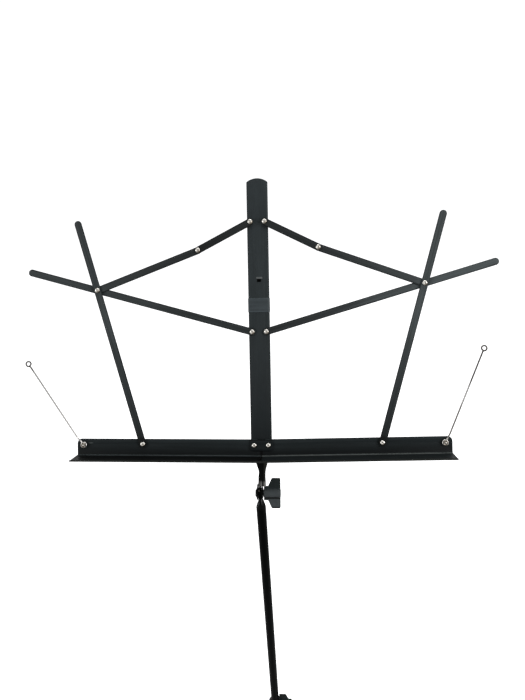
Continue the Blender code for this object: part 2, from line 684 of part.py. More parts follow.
def make_bracket():
    plate_front = PIVOT_FORE - PLY - GAP
    low = PIVOT_RISE - CHANNEL_LOW
    outline = [(DESK_SHIFT - BRACKET_HALF, low), (DESK_SHIFT + BRACKET_HALF, low),
               (DESK_SHIFT + BRACKET_HALF, PIVOT_RISE + BRACKET_HIGH),
               (DESK_SHIFT - BRACKET_HALF, PIVOT_RISE + BRACKET_HIGH)]
    holes = [circle(DESK_SHIFT + side * PIVOT_HALF, PIVOT_RISE, SHANK + HOLE_GAP)
             for side in (1, -1)]
    body = prism("tilt_bracket", [outline] + holes, plate_front - PLY, plate_front, BLACK)
    put(body, tilt_axis)
    ear_in = TANG_HALF + EAR_PLAY
    ear_out = ear_in + EAR_THICK
    soft = 0.1 * MM
    wall = EAR_THICK - 2 * soft
    top = low + 4.5 * MM
    span = top - (EAR + 0.7 * MM)
    # share of the way down, centre, half width, step forward, flange depth, wall
    rows = [(0.0, 1.0, NECK_HALF + 1.2 * MM, -0.1 * MM, 2.2 * MM, PLY - 0.2 * MM),
            (0.34, 1.0, NECK_HALF + 0.2 * MM, 0.2 * MM, 3.0 * MM, PLY),
            (0.44, 1.0, 0.84 * NECK_HALF, 0.5 * MM, 3.8 * MM, PLY),
            (0.52, 1.06, 0.69 * NECK_HALF, 0.8 * MM, 4.4 * MM, PLY),
            (0.60, 1.07, WAIST_HALF + 0.1 * MM, 1.2 * MM, 5.0 * MM, PLY),
            (0.74, 0.92, WAIST_HALF + 0.3 * MM, 1.9 * MM, 6.0 * MM, wall),
            (0.88, 0.95, WAIST_HALF + 0.5 * MM, 2.5 * MM, 6.8 * MM, wall),
            (1.0, 0.85, WAIST_HALF + 1.0 * MM, 2.9 * MM, 7.4 * MM, wall)]
    neck = [trough(top - share * span, DESK_SHIFT * shift, half, plate_front + step, depth, thick)
            for share, shift, half, step, depth, thick in rows]
    join(body, loft("bracket_neck", neck, BLACK, cutters))
    reach = EAR + 2.2 * MM
    high = plate_front + 2.6 * MM
    back = high - 7.2 * MM
    front_y = sqrt(EAR ** 2 - high ** 2)
    back_y = sqrt(EAR ** 2 - back ** 2)
    turned_ear = arc(0, 0, EAR, degrees(atan2(high, front_y)),
                     360 + degrees(atan2(back, back_y)), 22)
    outline = turned_ear + [(reach, back), (reach, high)]
    for side, rise in ((1, EAR_DISH), (-1, NUT_DISH)):
        ends = sorted((side * ear_in, side * ear_out))
        join(body, prism(f"bracket_ear_{side + 1}", [outline], ends[0], ends[1], BLACK,
                         "yz", cutters))
        dish = turned(f"bracket_dish_{side + 1}",
                      [(0, ear_out + rise), (0.45 * EAR, ear_out + rise),
                       (0.78 * EAR, ear_out + 0.5 * rise), (0.93 * EAR, ear_out - 0.2 * MM),
                       (0.93 * EAR, ear_out - 0.5 * EAR_THICK), (0, ear_out - 0.5 * EAR_THICK)],
                      BLACK, 22, cutters)
        join(body, dish, (0, 0, 0), (0, side * pi / 2, 0))
    hole = cylinder("bracket_hole", BOLT + HOLE_GAP, -20 * MM, 20 * MM, BLACK, 16)
    cut(body, hole, (0, 0, 0), (0, pi / 2, 0))
    return ear_out


ear_face = make_bracket()


# --------------------------------------------------------------- wing screws
def wing_screw(name, parent, location, rotation, seat, screw_r, tip, turn, mat=PLASTIC):
    """A wing-headed screw along Z: hub on seat, stepped blade, tip at tip."""
    hub_end = seat + WING_LEN
    profile = [(0, hub_end), (0.88 * WING_HUB, hub_end), (WING_HUB, hub_end - 0.6 * MM),
               (WING_HUB, seat), (screw_r, seat), (screw_r, tip), (0, tip)]
    body = turned(name, profile, mat, 16)
    put(body, parent, location, rotation)
    soft = 1.2 * MM
    root = seat + 0.4 * MM
    step = seat + WING_ROOT_LEN
    far = hub_end - 0.3 * MM
    near = hub_end - WING_TIP
    blade = [(0, root), (WING_ROOT - soft, root), (WING_ROOT, root + soft),
             (WING_ROOT, step), (WING_SPAN - soft, near), (WING_SPAN, near + soft),
             (WING_SPAN, far - soft), (WING_SPAN - soft, far), (0, far)]
    blade = blade + [(-x, z) for x, z in blade[-2:0:-1]]
    # Drawn as (Z, X), so that the blade stands in the ZX plane.
    wing = prism(name + "_blade", [[(z, x) for x, z in blade]], -WING_THICK / 2,
                 WING_THICK / 2, mat, "zx", cutters)
    join(body, wing, (0, 0, 0), (0, 0, turn))
    return body


def make_tilt_screw():
    nut_seat = ear_face + NUT_DISH + SEAT
    # Local Z runs along +X of the stand, and local X points down at turn zero.
    turn = radians(180 - TILT_WING_TURN)
    frame = empty("tilt_bolt_axis", tilt_axis, (0, 0, 0), (0, 0, 0))
    frame.rotation_euler = (radians(DESK_LEAN - 90), 0, 0)
    wing_screw("tilt_wing_bolt", frame, (0, 0, 0), (0, pi / 2, 0), ear_face + EAR_DISH + GAP,
               BOLT, -(nut_seat + NUT_THICK), turn)
    bore = BOLT + HOLE_GAP
    profile = [(0.8 * NUT_R, nut_seat + NUT_THICK), (NUT_R, nut_seat + 0.4 * NUT_THICK),
               (NUT_R, nut_seat), (bore, nut_seat), (bore, nut_seat + NUT_THICK)]
    nut = turned("tilt_nut", profile, BLACK, 16)
    put(nut, frame, (0, 0, 0), (0, -pi / 2, 0))


make_tilt_screw()


# -------------------------------------------------------------------- column
def tube(name, radius, wall, low, high, mat=BLACK):
    """An open tube, its origin on the column axis at its lower end."""
    length = high - low
    inner = radius - wall
    profile = [(radius, length), (radius, 0), (inner, 0), (inner, length)]
    return put(turned(name, profile, mat, 24), None, (0, 0, low))


def flat_section(z, half_x, half_y, count=24):
    """A section that goes from a circle to a flat tang as the halves differ."""
    square = 1 + 2.2 * abs(half_y - half_x) / (half_y + half_x)
    points = []
    for k in range(count):
        a = 2 * pi * k / count
        c, s = cos(a), sin(a)
        points.append((half_x * abs(c) ** (1 / square) * (1 if c >= 0 else -1),
                       half_y * abs(s) ** (1 / square) * (1 if s >= 0 else -1), z))
    return points


def make_upper_tube():
    bottom = UPPER_LOW - TILT_Z
    blend = SHOULDER - EAR - 2.5 * MM
    rows = [flat_section(bottom, UPPER_R, UPPER_R), flat_section(-SHOULDER, UPPER_R, UPPER_R)]
    for share in (0.25, 0.5, 0.75, 1.0):
        soft = share * share * (3 - 2 * share)
        rows.append(flat_section(-SHOULDER + blend * share,
                                 UPPER_R + (TANG_HALF - UPPER_R) * soft,
                                 UPPER_R + (EAR - 0.4 * MM - UPPER_R) * soft))
    rows.append(flat_section(0, TANG_HALF - 0.05 * MM, EAR - 0.4 * MM))
    body = loft("upper_tube", rows, BLACK)
    put(body, None, (0, 0, TILT_Z))
    disc = cylinder("tang_disc", EAR, -TANG_HALF, TANG_HALF, BLACK, 32)
    join(body, disc, (0, 0, 0), (0, pi / 2, 0))
    bore = cylinder("upper_bore", UPPER_R - UPPER_WALL, bottom - 5 * MM,
                    -SHOULDER - 8 * MM, BLACK, 24)
    cut(body, bore)
    hole = cylinder("tang_hole", BOLT + HOLE_GAP, -10 * MM, 10 * MM, BLACK, 16)
    cut(body, hole, (0, 0, 0), (0, pi / 2, 0))
    return body


make_upper_tube()
MIDDLE_WALL = MIDDLE_R - UPPER_R - GAP - 0.1 * MM
BASE_WALL = BASE_R - MIDDLE_R - GAP - 0.1 * MM
base_low = PLUG_HIGH + SEAT
tube("middle_tube", MIDDLE_R, MIDDLE_WALL, MIDDLE_LOW, MIDDLE_TOP)
tube("base_tube", BASE_R, BASE_WALL, base_low, BASE_TOP)


def make_clamp(name, capped_r, sliding_r, end, turn):
    """A collar over a tube's end, with a wing screw on the tube that slides in it."""
    wide = capped_r + SEAT + CLAMP_WALL
    lower = capped_r + SEAT
    upper = sliding_r + GAP + 0.1 * MM
    outline = [(wide - 1 * MM, CLAMP_ABOVE), (wide, CLAMP_ABOVE - 1 * MM),
               (wide, -CLAMP_BELOW), (lower, -CLAMP_BELOW), (lower, SEAT),
               (upper, SEAT), (upper, CLAMP_ABOVE)]
    body = put(turned(name, outline, PLASTIC, 24), None, (0, 0, end))
    boss_in = (upper + wide) / 2
    boss = cylinder(name + "_boss", CLAMP_BOSS, boss_in, CLAMP_BOSS_OUT, PLASTIC, 20)
    join(body, boss, (0, 0, CLAMP_SCREW_UP), (0, pi / 2, 0))
    hole = cylinder(name + "_hole", CLAMP_SCREW + HOLE_GAP, upper - 2 * MM,
                    CLAMP_BOSS_OUT + 2 * MM, PLASTIC, 16)
    cut(body, hole, (0, 0, CLAMP_SCREW_UP), (0, pi / 2, 0))
    # Only the boss side is drilled, because the cutter starts past the axis.
    wing_screw(name + "_screw", None, (0, 0, end + CLAMP_SCREW_UP), (0, pi / 2, 0),
               CLAMP_BOSS_OUT + GAP, CLAMP_SCREW, sliding_r + GAP, radians(turn))


make_clamp("middle_clamp", MIDDLE_R, UPPER_R, MIDDLE_TOP, MIDDLE_WING_TURN)
make_clamp("base_clamp", BASE_R, MIDDLE_R, BASE_TOP, BASE_WING_TURN)


def make_plug():
    stub = BASE_R - BASE_WALL - SEAT
    soft = 1 * MM
    profile = [(0, PLUG_HIGH + PLUG_STUB), (stub - soft, PLUG_HIGH + PLUG_STUB),
               (stub, PLUG_HIGH + PLUG_STUB - soft), (stub, PLUG_HIGH),
               (PLUG_R, PLUG_HIGH), (PLUG_R, soft), (PLUG_R - soft, 0), (0, 0)]
    return turned("tube_plug", profile, RUBBER, 24)


make_plug()


# -------------------------------------------------------------------- tripod
def blank(name, inner, wall, half, height, mat=BLACK):
    """A solid disc for a ring, which is bored once its lugs are on."""
    outer = inner + wall
    soft = 0.8 * MM
    profile = [(0, half), (outer - soft, half), (outer, half - soft), (outer, soft - half),
               (outer - soft, -half), (0, -half)]
    return put(turned(name, profile, mat, 30), None, (0, 0, height))


def make_hub():
    """Fixed ring low on the column, with a forked lug and pin for each stay."""
    body = blank("leg_hub", BASE_R + SEAT, COLLAR_WALL - GAP, HUB_HALF, HUB_Z + 0.7 * MM)
    inside = STAY_THICK / 2 + GAP
    for k, azimuth in enumerate(LEG_AZIMUTHS):
        spin = radians(azimuth)
        for side in (1, -1):
            ends = sorted((side * inside, side * (inside + CHEEK)))
            loop = [(z, x) for x, z in strip(BASE_R + 2.5 * MM, LEG_PIVOT_R, CHEEK_R)]
            cheek = prism(f"hub_cheek_{k}_{side + 1}", [loop[::-1]], ends[0], ends[1],
                          BLACK, "zx", cutters)
            join(body, cheek, (0, 0, -0.7 * MM), (0, 0, spin))
        pin = cylinder(f"hub_pin_{k}", PIN, -inside - 0.8 * CHEEK, inside + 0.8 * CHEEK,
                       BLACK, 12)
        carrier = Vector((LEG_PIVOT_R * cos(spin), LEG_PIVOT_R * sin(spin), -0.7 * MM))
        join(body, pin, carrier, (pi / 2, 0, spin))
    bore = cylinder("hub_bore", BASE_R + SEAT, -HUB_HALF - 5 * MM, HUB_HALF + 5 * MM,
                    BLACK, 30)
    cut(body, bore)
    return body


def make_collar():
    """Sliding ring that carries the legs' top pivots on pinned lugs."""
    body = blank("leg_collar", BASE_R + GAP, COLLAR_WALL, COLLAR_HALF, COLLAR_Z)
    for k, azimuth in enumerate(LEG_AZIMUTHS):
        spin = radians(azimuth)
        loop = [(z, x) for x, z in strip(BASE_R + 2.5 * MM, LEG_PIVOT_R, LUG_R)]
        lug = prism(f"collar_lug_{k}", [loop[::-1]], -LUG_THICK / 2, LUG_THICK / 2, BLACK,
                    "zx", cutters)
        join(body, lug, (0, 0, 0), (0, 0, spin))
        out = LEG_HALF + SEAT
        end = out + PIN_HEAD_THICK
        pin = turned(f"collar_pin_{k}",
                     [(0, end), (PIN_HEAD, end), (PIN_HEAD, out), (PIN, out),
                      (PIN, -out), (PIN_HEAD, -out), (PIN_HEAD, -end), (0, -end)],
                     BLACK, 12, cutters)
        carrier = Vector((LEG_PIVOT_R * cos(spin), LEG_PIVOT_R * sin(spin), 0))
        join(body, pin, carrier, (pi / 2, 0, spin))
    bore = cylinder("collar_bore", BASE_R + GAP, -COLLAR_HALF - 5 * MM,
                    COLLAR_HALF + 5 * MM, BLACK, 30)
    cut(body, bore)
    face = BASE_R + GAP + COLLAR_WALL
    spin = radians(COLLAR_SCREW_AZ)
    hole = cylinder("collar_screw_hole", PIN + HOLE_GAP, BASE_R - 1 * MM, face + 2 * MM,
                    BLACK, 12)
    cut(body, hole, (0, 0, 0), (0, pi / 2, spin))
    wing_screw("leg_collar_screw", None, (0, 0, COLLAR_Z), (0, pi / 2, spin), face + SEAT,
               PIN, BASE_R + GAP, radians(90))


def leg_section():
    """U outline as (width, depth): web on the outer side, open to the column."""
    soft = 1 * MM
    return [(-LEG_HALF, -LEG_OPEN), (LEG_WALL - LEG_HALF, -LEG_OPEN),
            (LEG_WALL - LEG_HALF, LEG_BACK - LEG_WALL),
            (LEG_HALF - LEG_WALL, LEG_BACK - LEG_WALL),
            (LEG_HALF - LEG_WALL, -LEG_OPEN), (LEG_HALF, -LEG_OPEN),
            (LEG_HALF, LEG_BACK - soft), (LEG_HALF - soft, LEG_BACK),
            (soft - LEG_HALF, LEG_BACK), (-LEG_HALF, LEG_BACK - soft)]


def box_loop(half, low, high):
    return [(-half, low), (half, low), (half, high), (-half, high)]


def make_leg(k, azimuth):
    slope = radians(90 - LEG_SPREAD)
    radial = empty(f"leg_frame_{k}", None, (0, 0, 0), (0, 0, radians(azimuth)))
    stay = strip(0, STAY_LEN, STAY_HALF)
    holes = [circle(0, 0, PIN + HOLE_GAP), circle(STAY_LEN, 0, PIN + HOLE_GAP)]
    loops = [[(y, x) for x, y in loop[::-1]] for loop in [stay] + holes]
    body = prism(f"stay_{k}", loops, -STAY_THICK / 2, STAY_THICK / 2, BLACK, "zx")
    put(body, radial, (LEG_PIVOT_R, 0, HUB_Z), (0, -slope, 0))

    knee_at = (LEG_PIVOT_R + STAY_LEN * sin(radians(LEG_SPREAD)), 0, HUB_STAY_Z)
    brace = empty(f"brace_axis_{k}", radial, knee_at, (0, slope, 0))
    far = LEG_LEN - STAY_LEN
    leg = prism(f"leg_{k}", [leg_section()], -STAY_LEN - LEG_END, far, BLACK, "yz")
    put(leg, brace)
    for n, at in enumerate((0, -STAY_LEN)):
        hole = cylinder(f"leg_hole_{k}_{n}", PIN + HOLE_GAP, -LEG_HALF - 2 * MM,
                        LEG_HALF + 2 * MM, BLACK, 12)
        cut(leg, hole, (at, 0, 0), (pi / 2, 0, 0))

    out = LEG_HALF + SEAT
    end = out + PIN_HEAD_THICK
    pin = turned(f"brace_pin_{k}",
                 [(0, end), (PIN_HEAD - 0.5 * MM, end), (PIN_HEAD, out + 0.5 * MM),
                  (PIN_HEAD, out), (PIN, out), (PIN, -out), (PIN_HEAD, -out),
                  (PIN_HEAD, -out - 0.5 * MM), (PIN_HEAD - 0.5 * MM, -end), (0, -end)],
                 NICKEL, 12)
    put(pin, brace, (0, 0, 0), (pi / 2, 0, 0))

    foot = prism(f"foot_{k}", [box_loop(FOOT_HALF, -FOOT_OPEN, FOOT_BACK)],
                 far - FOOT_START, far + FOOT_PAST, RUBBER, "yz")
    put(foot, brace)
    soft = foot.modifiers.new("round", "BEVEL")
    soft.width = 1.8 * MM
    soft.segments = 2
    pocket = prism(f"foot_pocket_{k}", [box_loop(LEG_HALF + GAP, -LEG_OPEN - GAP,
                                                 LEG_BACK + GAP)],
                   far - FOOT_START - 2 * MM, far + SEAT, RUBBER, "yz", cutters)
    cut(foot, pocket)
    under = prism(f"foot_floor_{k}", [box_loop(40 * MM, -60 * MM, 0)], -60 * MM, 60 * MM,
                  RUBBER, "yz", cutters)
    boolean(foot, put(under, radial, (knee_at[0] + far * cos(slope), 0, 0)), "DIFFERENCE")


make_hub()
make_collar()
for number, azimuth in enumerate(LEG_AZIMUTHS, 1):
    make_leg(number, azimuth)

for obj in parts.objects:
    if obj.type == "MESH":
        obj.data.shade_smooth()
        obj.data.set_sharp_from_angle(angle=radians(30))
bpy.context.view_layer.update()
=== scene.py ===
"""A folding music stand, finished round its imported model.

Units are metres, Z is up and the desk faces -Y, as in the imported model.
"""
import json
from math import atan2, cos, pi, radians, sin, sqrt

import bmesh
import bpy
from mathutils import Matrix, Vector


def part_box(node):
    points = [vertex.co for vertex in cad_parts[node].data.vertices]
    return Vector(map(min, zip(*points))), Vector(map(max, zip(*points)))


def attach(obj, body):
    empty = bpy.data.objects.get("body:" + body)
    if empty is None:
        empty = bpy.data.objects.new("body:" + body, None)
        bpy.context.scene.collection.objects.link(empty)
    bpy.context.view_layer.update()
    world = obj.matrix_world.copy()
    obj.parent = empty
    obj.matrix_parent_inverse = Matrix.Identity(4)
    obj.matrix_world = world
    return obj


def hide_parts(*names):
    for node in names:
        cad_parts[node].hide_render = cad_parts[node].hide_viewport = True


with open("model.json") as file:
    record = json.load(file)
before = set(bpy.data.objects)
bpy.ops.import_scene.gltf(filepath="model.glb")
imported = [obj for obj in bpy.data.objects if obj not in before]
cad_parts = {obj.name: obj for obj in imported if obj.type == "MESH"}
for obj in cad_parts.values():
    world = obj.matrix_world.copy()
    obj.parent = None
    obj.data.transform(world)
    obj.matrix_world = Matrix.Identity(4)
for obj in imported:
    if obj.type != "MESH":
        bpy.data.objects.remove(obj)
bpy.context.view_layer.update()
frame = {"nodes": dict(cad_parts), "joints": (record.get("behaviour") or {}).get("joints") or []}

# ------------------------------------------------------------------ the room
# A pale studio: one wide floor, a soft lamp high on the right, a weaker one on
# the left, a long strip above, and a camera at standing height before the desk.
room = bpy.data.collections.new("room")
bpy.context.scene.collection.children.link(room)
bpy.context.scene.view_settings.view_transform = "Standard"

camera_at = (0.0599, -0.57015, 1.62794)
camera_yaw = 4.63
camera_down = 32.61
camera_roll = -3.43
lens_long = 32.74
camera_lens = bpy.data.cameras.new("camera")
camera_lens.lens = lens_long
camera_lens.sensor_width = 36.0
camera_lens.clip_start = 0.02
camera = bpy.data.objects.new("camera", camera_lens)
room.objects.link(camera)
camera.matrix_world = (Matrix.Translation(camera_at)
                       @ Matrix.Rotation(radians(camera_yaw), 4, "Z")
                       @ Matrix.Rotation(radians(90 - camera_down), 4, "X")
                       @ Matrix.Rotation(radians(camera_roll), 4, "Z"))
bpy.context.scene.camera = camera

floor_half = 40.0
floor_sheet = bmesh.new()
bmesh.ops.create_grid(floor_sheet, x_segments=1, y_segments=1, size=floor_half)
floor_mesh = bpy.data.meshes.new("studio_floor")
floor_sheet.to_mesh(floor_mesh)
floor_sheet.free()
floor = bpy.data.objects.new("studio_floor", floor_mesh)
room.objects.link(floor)


def maths(tree, kind, first, second=None, third=None):
    """A maths node fed by sockets or numbers, and its output."""
    node = tree.nodes.new("ShaderNodeMath")
    node.operation = kind
    for k, value in enumerate((first, second, third)):
        if isinstance(value, (int, float)):
            node.inputs[k].default_value = value
        elif value is not None:
            tree.links.new(value, node.inputs[k])
    return node.outputs[0]


def seen_ray(tree, in_gloss):
    """One for the camera's rays, and that much for rays in gloss and in glass."""
    ray = tree.nodes.new("ShaderNodeLightPath").outputs
    both = maths(tree, "MAXIMUM", ray["Is Glossy Ray"], ray["Is Transmission Ray"])
    return maths(tree, "MULTIPLY_ADD", both, in_gloss, ray["Is Camera Ray"])


floor_glow = 0.62
glow_in_gloss = 0.12
floor_paint = bpy.data.materials.new("studio_floor_paint")
floor_paint.use_nodes = True
floor_tree = floor_paint.node_tree
floor_coat = floor_tree.nodes["Principled BSDF"].inputs
floor_coat["Base Color"].default_value = (0.86, 0.86, 0.86, 1)
floor_coat["Roughness"].default_value = 0.9
floor_coat["Specular IOR Level"].default_value = 0.1
floor_coat["Emission Color"].default_value = (1, 1, 1, 1)
floor_tree.links.new(
    maths(floor_tree, "MULTIPLY", seen_ray(floor_tree, glow_in_gloss), floor_glow),
    floor_coat["Emission Strength"])
floor_mesh.materials.append(floor_paint)

air = bpy.data.worlds.new("studio_air")
bpy.context.scene.world = air
air.use_nodes = True
air_tree = air.node_tree
air_tree.nodes.clear()
air_mix = air_tree.nodes.new("ShaderNodeMixShader")
air_tree.links.new(seen_ray(air_tree, 1.0), air_mix.inputs["Fac"])
for socket, tint, strength in ((1, (0.97, 0.98, 1.0, 1), 0.5), (2, (1, 1, 1, 1), 1.0)):
    air_light = air_tree.nodes.new("ShaderNodeBackground")
    air_light.inputs["Color"].default_value = tint
    air_light.inputs["Strength"].default_value = strength
    air_tree.links.new(air_light.outputs[0], air_mix.inputs[socket])
air_out = air_tree.nodes.new("ShaderNodeOutputWorld")
air_tree.links.new(air_mix.outputs[0], air_out.inputs["Surface"])


def softbox(name, at, toward, wide, high, watts):
    """A soft lamp that looks towards a point."""
    light = bpy.data.lights.new(name, "AREA")
    light.shape = "RECTANGLE"
    light.size = wide
    light.size_y = high
    light.energy = watts
    lamp = bpy.data.objects.new(name, light)
    room.objects.link(lamp)
    lamp.location = at
    lamp.rotation_euler = (Vector(toward) - Vector(at)).to_track_quat("-Z", "Y").to_euler()


softbox("right_softbox", (1.9, -1.3, 2.5), (0, 0, 1.1), 1.4, 1.4, 52)
softbox("left_softbox", (-2.0, -1.2, 2.2), (0, 0, 1.1), 1.2, 1.4, 24)
softbox("top_strip", (0.1, 0.9, 3.0), (0, 0, 1.0), 2.2, 0.8, 40)

# --------------------------------------------------------------- column tubes
# The two wider of three thin steel tubes that slide in one another, lacquered
# satin black. Their ends are deburred, and faint draw lines run along them.
MM = 0.001
tube_wall = 1.2 * MM
tube_ease = 0.3 * MM
stand = bpy.data.collections.new("music_stand")
bpy.context.scene.collection.children.link(stand)


def turned(profile, steps=64):
    """A piece turned about Z from (radius, height) points."""
    work = bmesh.new()
    dots = [work.verts.new((radius, 0, height)) for radius, height in profile]
    cuts = [work.edges.new(pair) for pair in zip(dots, dots[1:])]
    bmesh.ops.spin(work, geom=dots + cuts, cent=(0, 0, 0), axis=(0, 0, 1), dvec=(0, 0, 0),
                   angle=2 * pi, steps=steps, use_merge=True, use_normal_flip=False,
                   use_duplicate=False)
    bmesh.ops.remove_doubles(work, verts=work.verts, dist=0.0005 * MM)
    bmesh.ops.recalc_face_normals(work, faces=work.faces)
    return work


def fitted(node, work, finish, body, crease=32):
    """Makes the work a finished piece, which rides on its body for that node."""
    mesh = bpy.data.meshes.new(node + "_piece")
    work.to_mesh(mesh)
    work.free()
    mesh.materials.append(finish)
    mesh.shade_smooth()
    mesh.set_sharp_from_angle(angle=radians(crease))
    made = bpy.data.objects.new(node + "_piece", mesh)
    stand.objects.link(made)
    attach(made, body)
    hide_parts(node)


def effect_group(name, inputs, *outputs):
    """An empty shader node group with a vector and (name, value) inputs, and its ends."""
    made = bpy.data.node_groups.new(name, "ShaderNodeTree")
    made.interface.new_socket("Vector", in_out="INPUT", socket_type="NodeSocketVector")
    for socket, value in inputs:
        kind = "NodeSocketFloat" if isinstance(value, float) else "NodeSocketColor"
        fresh = made.interface.new_socket(socket, in_out="INPUT", socket_type=kind)
        fresh.default_value = value
    for socket in outputs:
        kind = "NodeSocketColor" if socket == "Colour" else "NodeSocketFloat"
        made.interface.new_socket(socket, in_out="OUTPUT", socket_type=kind)
    return made, made.nodes.new("NodeGroupInput").outputs, made.nodes.new("NodeGroupOutput").inputs


def product(tree, first, *others):
    """Masks or shades multiplied together."""
    for other in others:
        first = maths(tree, "MULTIPLY", first, other)
    return first


def held(tree, value):
    """A value kept between none and all."""
    return maths(tree, "MAXIMUM", maths(tree, "MINIMUM", value, 1.0), 0.0)


def between(tree, value, start, stop, first=0.0, last=1.0, soft=True):
    """Goes from first to last while the value goes from start to stop."""
    node = tree.nodes.new("ShaderNodeMapRange")
    node.interpolation_type = "SMOOTHSTEP" if soft else "LINEAR"
    for socket, given in zip(("Value", "From Min", "From Max", "To Min", "To Max"),
                             (value, start, stop, first, last)):
        if isinstance(given, (int, float)):
            node.inputs[socket].default_value = given
        else:
            tree.links.new(given, node.inputs[socket])
    return node.outputs[0]


def parted(tree, vector):
    """The X, Y and Z of a vector."""
    node = tree.nodes.new("ShaderNodeSeparateXYZ")
    tree.links.new(vector, node.inputs[0])
    return node.outputs


def grained(tree, vector, scales, detail, rough):
    """Noise on a vector scaled by three numbers, as its factor."""
    spread = tree.nodes.new("ShaderNodeVectorMath")
    spread.operation = "MULTIPLY"
    tree.links.new(vector, spread.inputs[0])
    spread.inputs[1].default_value = scales
    noise = tree.nodes.new("ShaderNodeTexNoise")
    noise.inputs["Scale"].default_value = 1.0
    noise.inputs["Detail"].default_value = detail
    noise.inputs["Roughness"].default_value = rough
    tree.links.new(spread.outputs[0], noise.inputs["Vector"])
    return noise.outputs["Fac"]


def blended(tree, amount, first, second):
    """Two colours mixed by an amount."""
    node = tree.nodes.new("ShaderNodeMix")
    node.data_type = "RGBA"
    tree.links.new(amount, node.inputs[0])
    for socket, colour in ((node.inputs[6], first), (node.inputs[7], second)):
        if isinstance(colour, tuple):
            socket.default_value = (*colour, 1)
        else:
            tree.links.new(colour, socket)
    return node.outputs[2]


def shaded(tree, colour, amount):
    """A colour made darker or lighter by an amount."""
    node = tree.nodes.new("ShaderNodeVectorMath")
    node.operation = "SCALE"
    tree.links.new(colour, node.inputs[0])
    tree.links.new(amount, node.inputs["Scale"])
    return node.outputs[0]


# Sprayed lacquer: draw lines of the strip under it, orange peel, pin specks, and
# a painted line along an edge: painted shade where its tone is below one, and a
# painted highlight where it is above one.
painted_edge_band = 1.7 * MM
film, film_in, film_out = effect_group(
    "sprayed_lacquer",
    (("Colour", (0.02, 0.02, 0.02, 1)), ("Draw lines", 0.5), ("Gloss", 0.38), ("Edge at", 1.0),
     ("Painted edge light", 1.0)), "Colour", "Roughness", "Height")
film_lines = grained(film, film_in["Vector"], (14, 900, 900), 4.0, 0.6)
film_cloud = grained(film, film_in["Vector"], (60, 140, 140), 3.0, 0.6)
film_peel = grained(film, film_in["Vector"], (1900, 1900, 1900), 2.0, 0.5)
film_dust = grained(film, film_in["Vector"], (2600, 2600, 2600), 1.0, 0.4)
film_speck = held(film, maths(film, "MULTIPLY_ADD", film_dust, 16.0, -12.2))
film_mark = product(film, maths(film, "SUBTRACT", film_lines, 0.5), film_in["Draw lines"])
film_tone = maths(film, "ADD", maths(film, "MULTIPLY_ADD", film_mark, 2.4, 1.0),
                  maths(film, "MULTIPLY_ADD", film_cloud, 0.4, -0.2))
film_tone = maths(film, "MULTIPLY_ADD", film_speck, 1.2, film_tone)
# Painted edge light: across the band before the edge, the colour is scaled to the edge tone.
painted_edge_light = between(film, maths(film, "ABSOLUTE", parted(film, film_in["Vector"])["Y"]),
                    maths(film, "SUBTRACT", film_in["Edge at"], painted_edge_band),
                    film_in["Edge at"], 1.0, film_in["Painted edge light"])
film.links.new(shaded(film, film_in["Colour"], product(film, film_tone, painted_edge_light)),
               film_out["Colour"])
film_rough = maths(film, "MULTIPLY_ADD", film_cloud, 0.16, film_in["Gloss"])
film.links.new(maths(film, "MULTIPLY_ADD", film_mark, 0.3, film_rough), film_out["Roughness"])
film.links.new(maths(film, "MULTIPLY_ADD", film_mark, 0.8, film_peel), film_out["Height"])

# Where a moving joint has rubbed the lacquer off, bare steel shows in streaks.
bare_steel = (0.30, 0.27, 0.23)
rub, rub_in, rub_out = effect_group(
    "rubbed_bare", (("Start", 0.02), ("End", 0.03), ("Amount", 0.5)), "Mask")
rub_reach = between(rub, parted(rub, rub_in["Vector"])["X"], rub_in["Start"], rub_in["End"],
                    1.0, 0.0)
rub_grain = grained(rub, rub_in["Vector"], (90, 420, 420), 3.0, 0.6)
rub_edge = maths(rub, "ADD", rub_grain, rub_in["Amount"])
rub_edge = held(rub, maths(rub, "MULTIPLY_ADD", rub_edge, 9.0, -8.6))
rub.links.new(product(rub, rub_edge, rub_reach), rub_out["Mask"])


def laid(tree, vector, place):
    """A vector centred and turned to a place."""
    node = tree.nodes.new("ShaderNodeMapping")
    node.vector_type = "TEXTURE"
    node.inputs["Location"].default_value = place.translation
    node.inputs["Rotation"].default_value = place.to_euler()
    tree.links.new(vector, node.inputs["Vector"])
    return node.outputs[0]


def shades_at(tree, amount, shades):
    """Colours at shares of an amount."""
    node = tree.nodes.new("ShaderNodeValToRGB")
    tree.links.new(amount, node.inputs["Fac"])
    marks = node.color_ramp.elements
    while len(marks) < len(shades):
        marks.new(len(marks) / (len(shades) + 1))
    for mark, (share, colour) in zip(marks, shades):
        mark.position = share
        mark.color = (*colour, 1)
    return node.outputs["Color"]


def tone_ramp(tree, place, tones):
    """Colours at distances along X of a place."""
    along = laid(tree, tree.nodes["Texture Coordinate"].outputs["Object"], place)
    start, stop = tones[0][0], tones[-1][0]
    reach = between(tree, parted(tree, along)["X"], start, stop, soft=False)
    return shades_at(tree, reach, [((at - start) / (stop - start), tone) for at, tone in tones])


def started(name):
    """A new finish, its nodes, its shader's sockets and its Object coordinates."""
    made = bpy.data.materials.new(name)
    made.use_nodes = True
    tree = made.node_tree
    where = tree.nodes.new("ShaderNodeTexCoord")
    return made, tree, tree.nodes["Principled BSDF"].inputs, where.outputs["Object"]


def effect(tree, group, vector, values):
    """An effect's node on a vector, with the values of its sockets."""
    node = tree.nodes.new("ShaderNodeGroup")
    node.node_tree = group
    tree.links.new(vector, node.inputs["Vector"])
    for socket, value in values.items():
        node.inputs[socket].default_value = value
    return node


def painted(tree, coat, tones, place):
    """Gives a coat one colour, or (distance, colour) tones along X of a place."""
    if isinstance(tones, tuple):
        coat.inputs["Colour"].default_value = (*tones, 1)
    else:
        tree.links.new(tone_ramp(tree, place, tones), coat.inputs["Colour"])


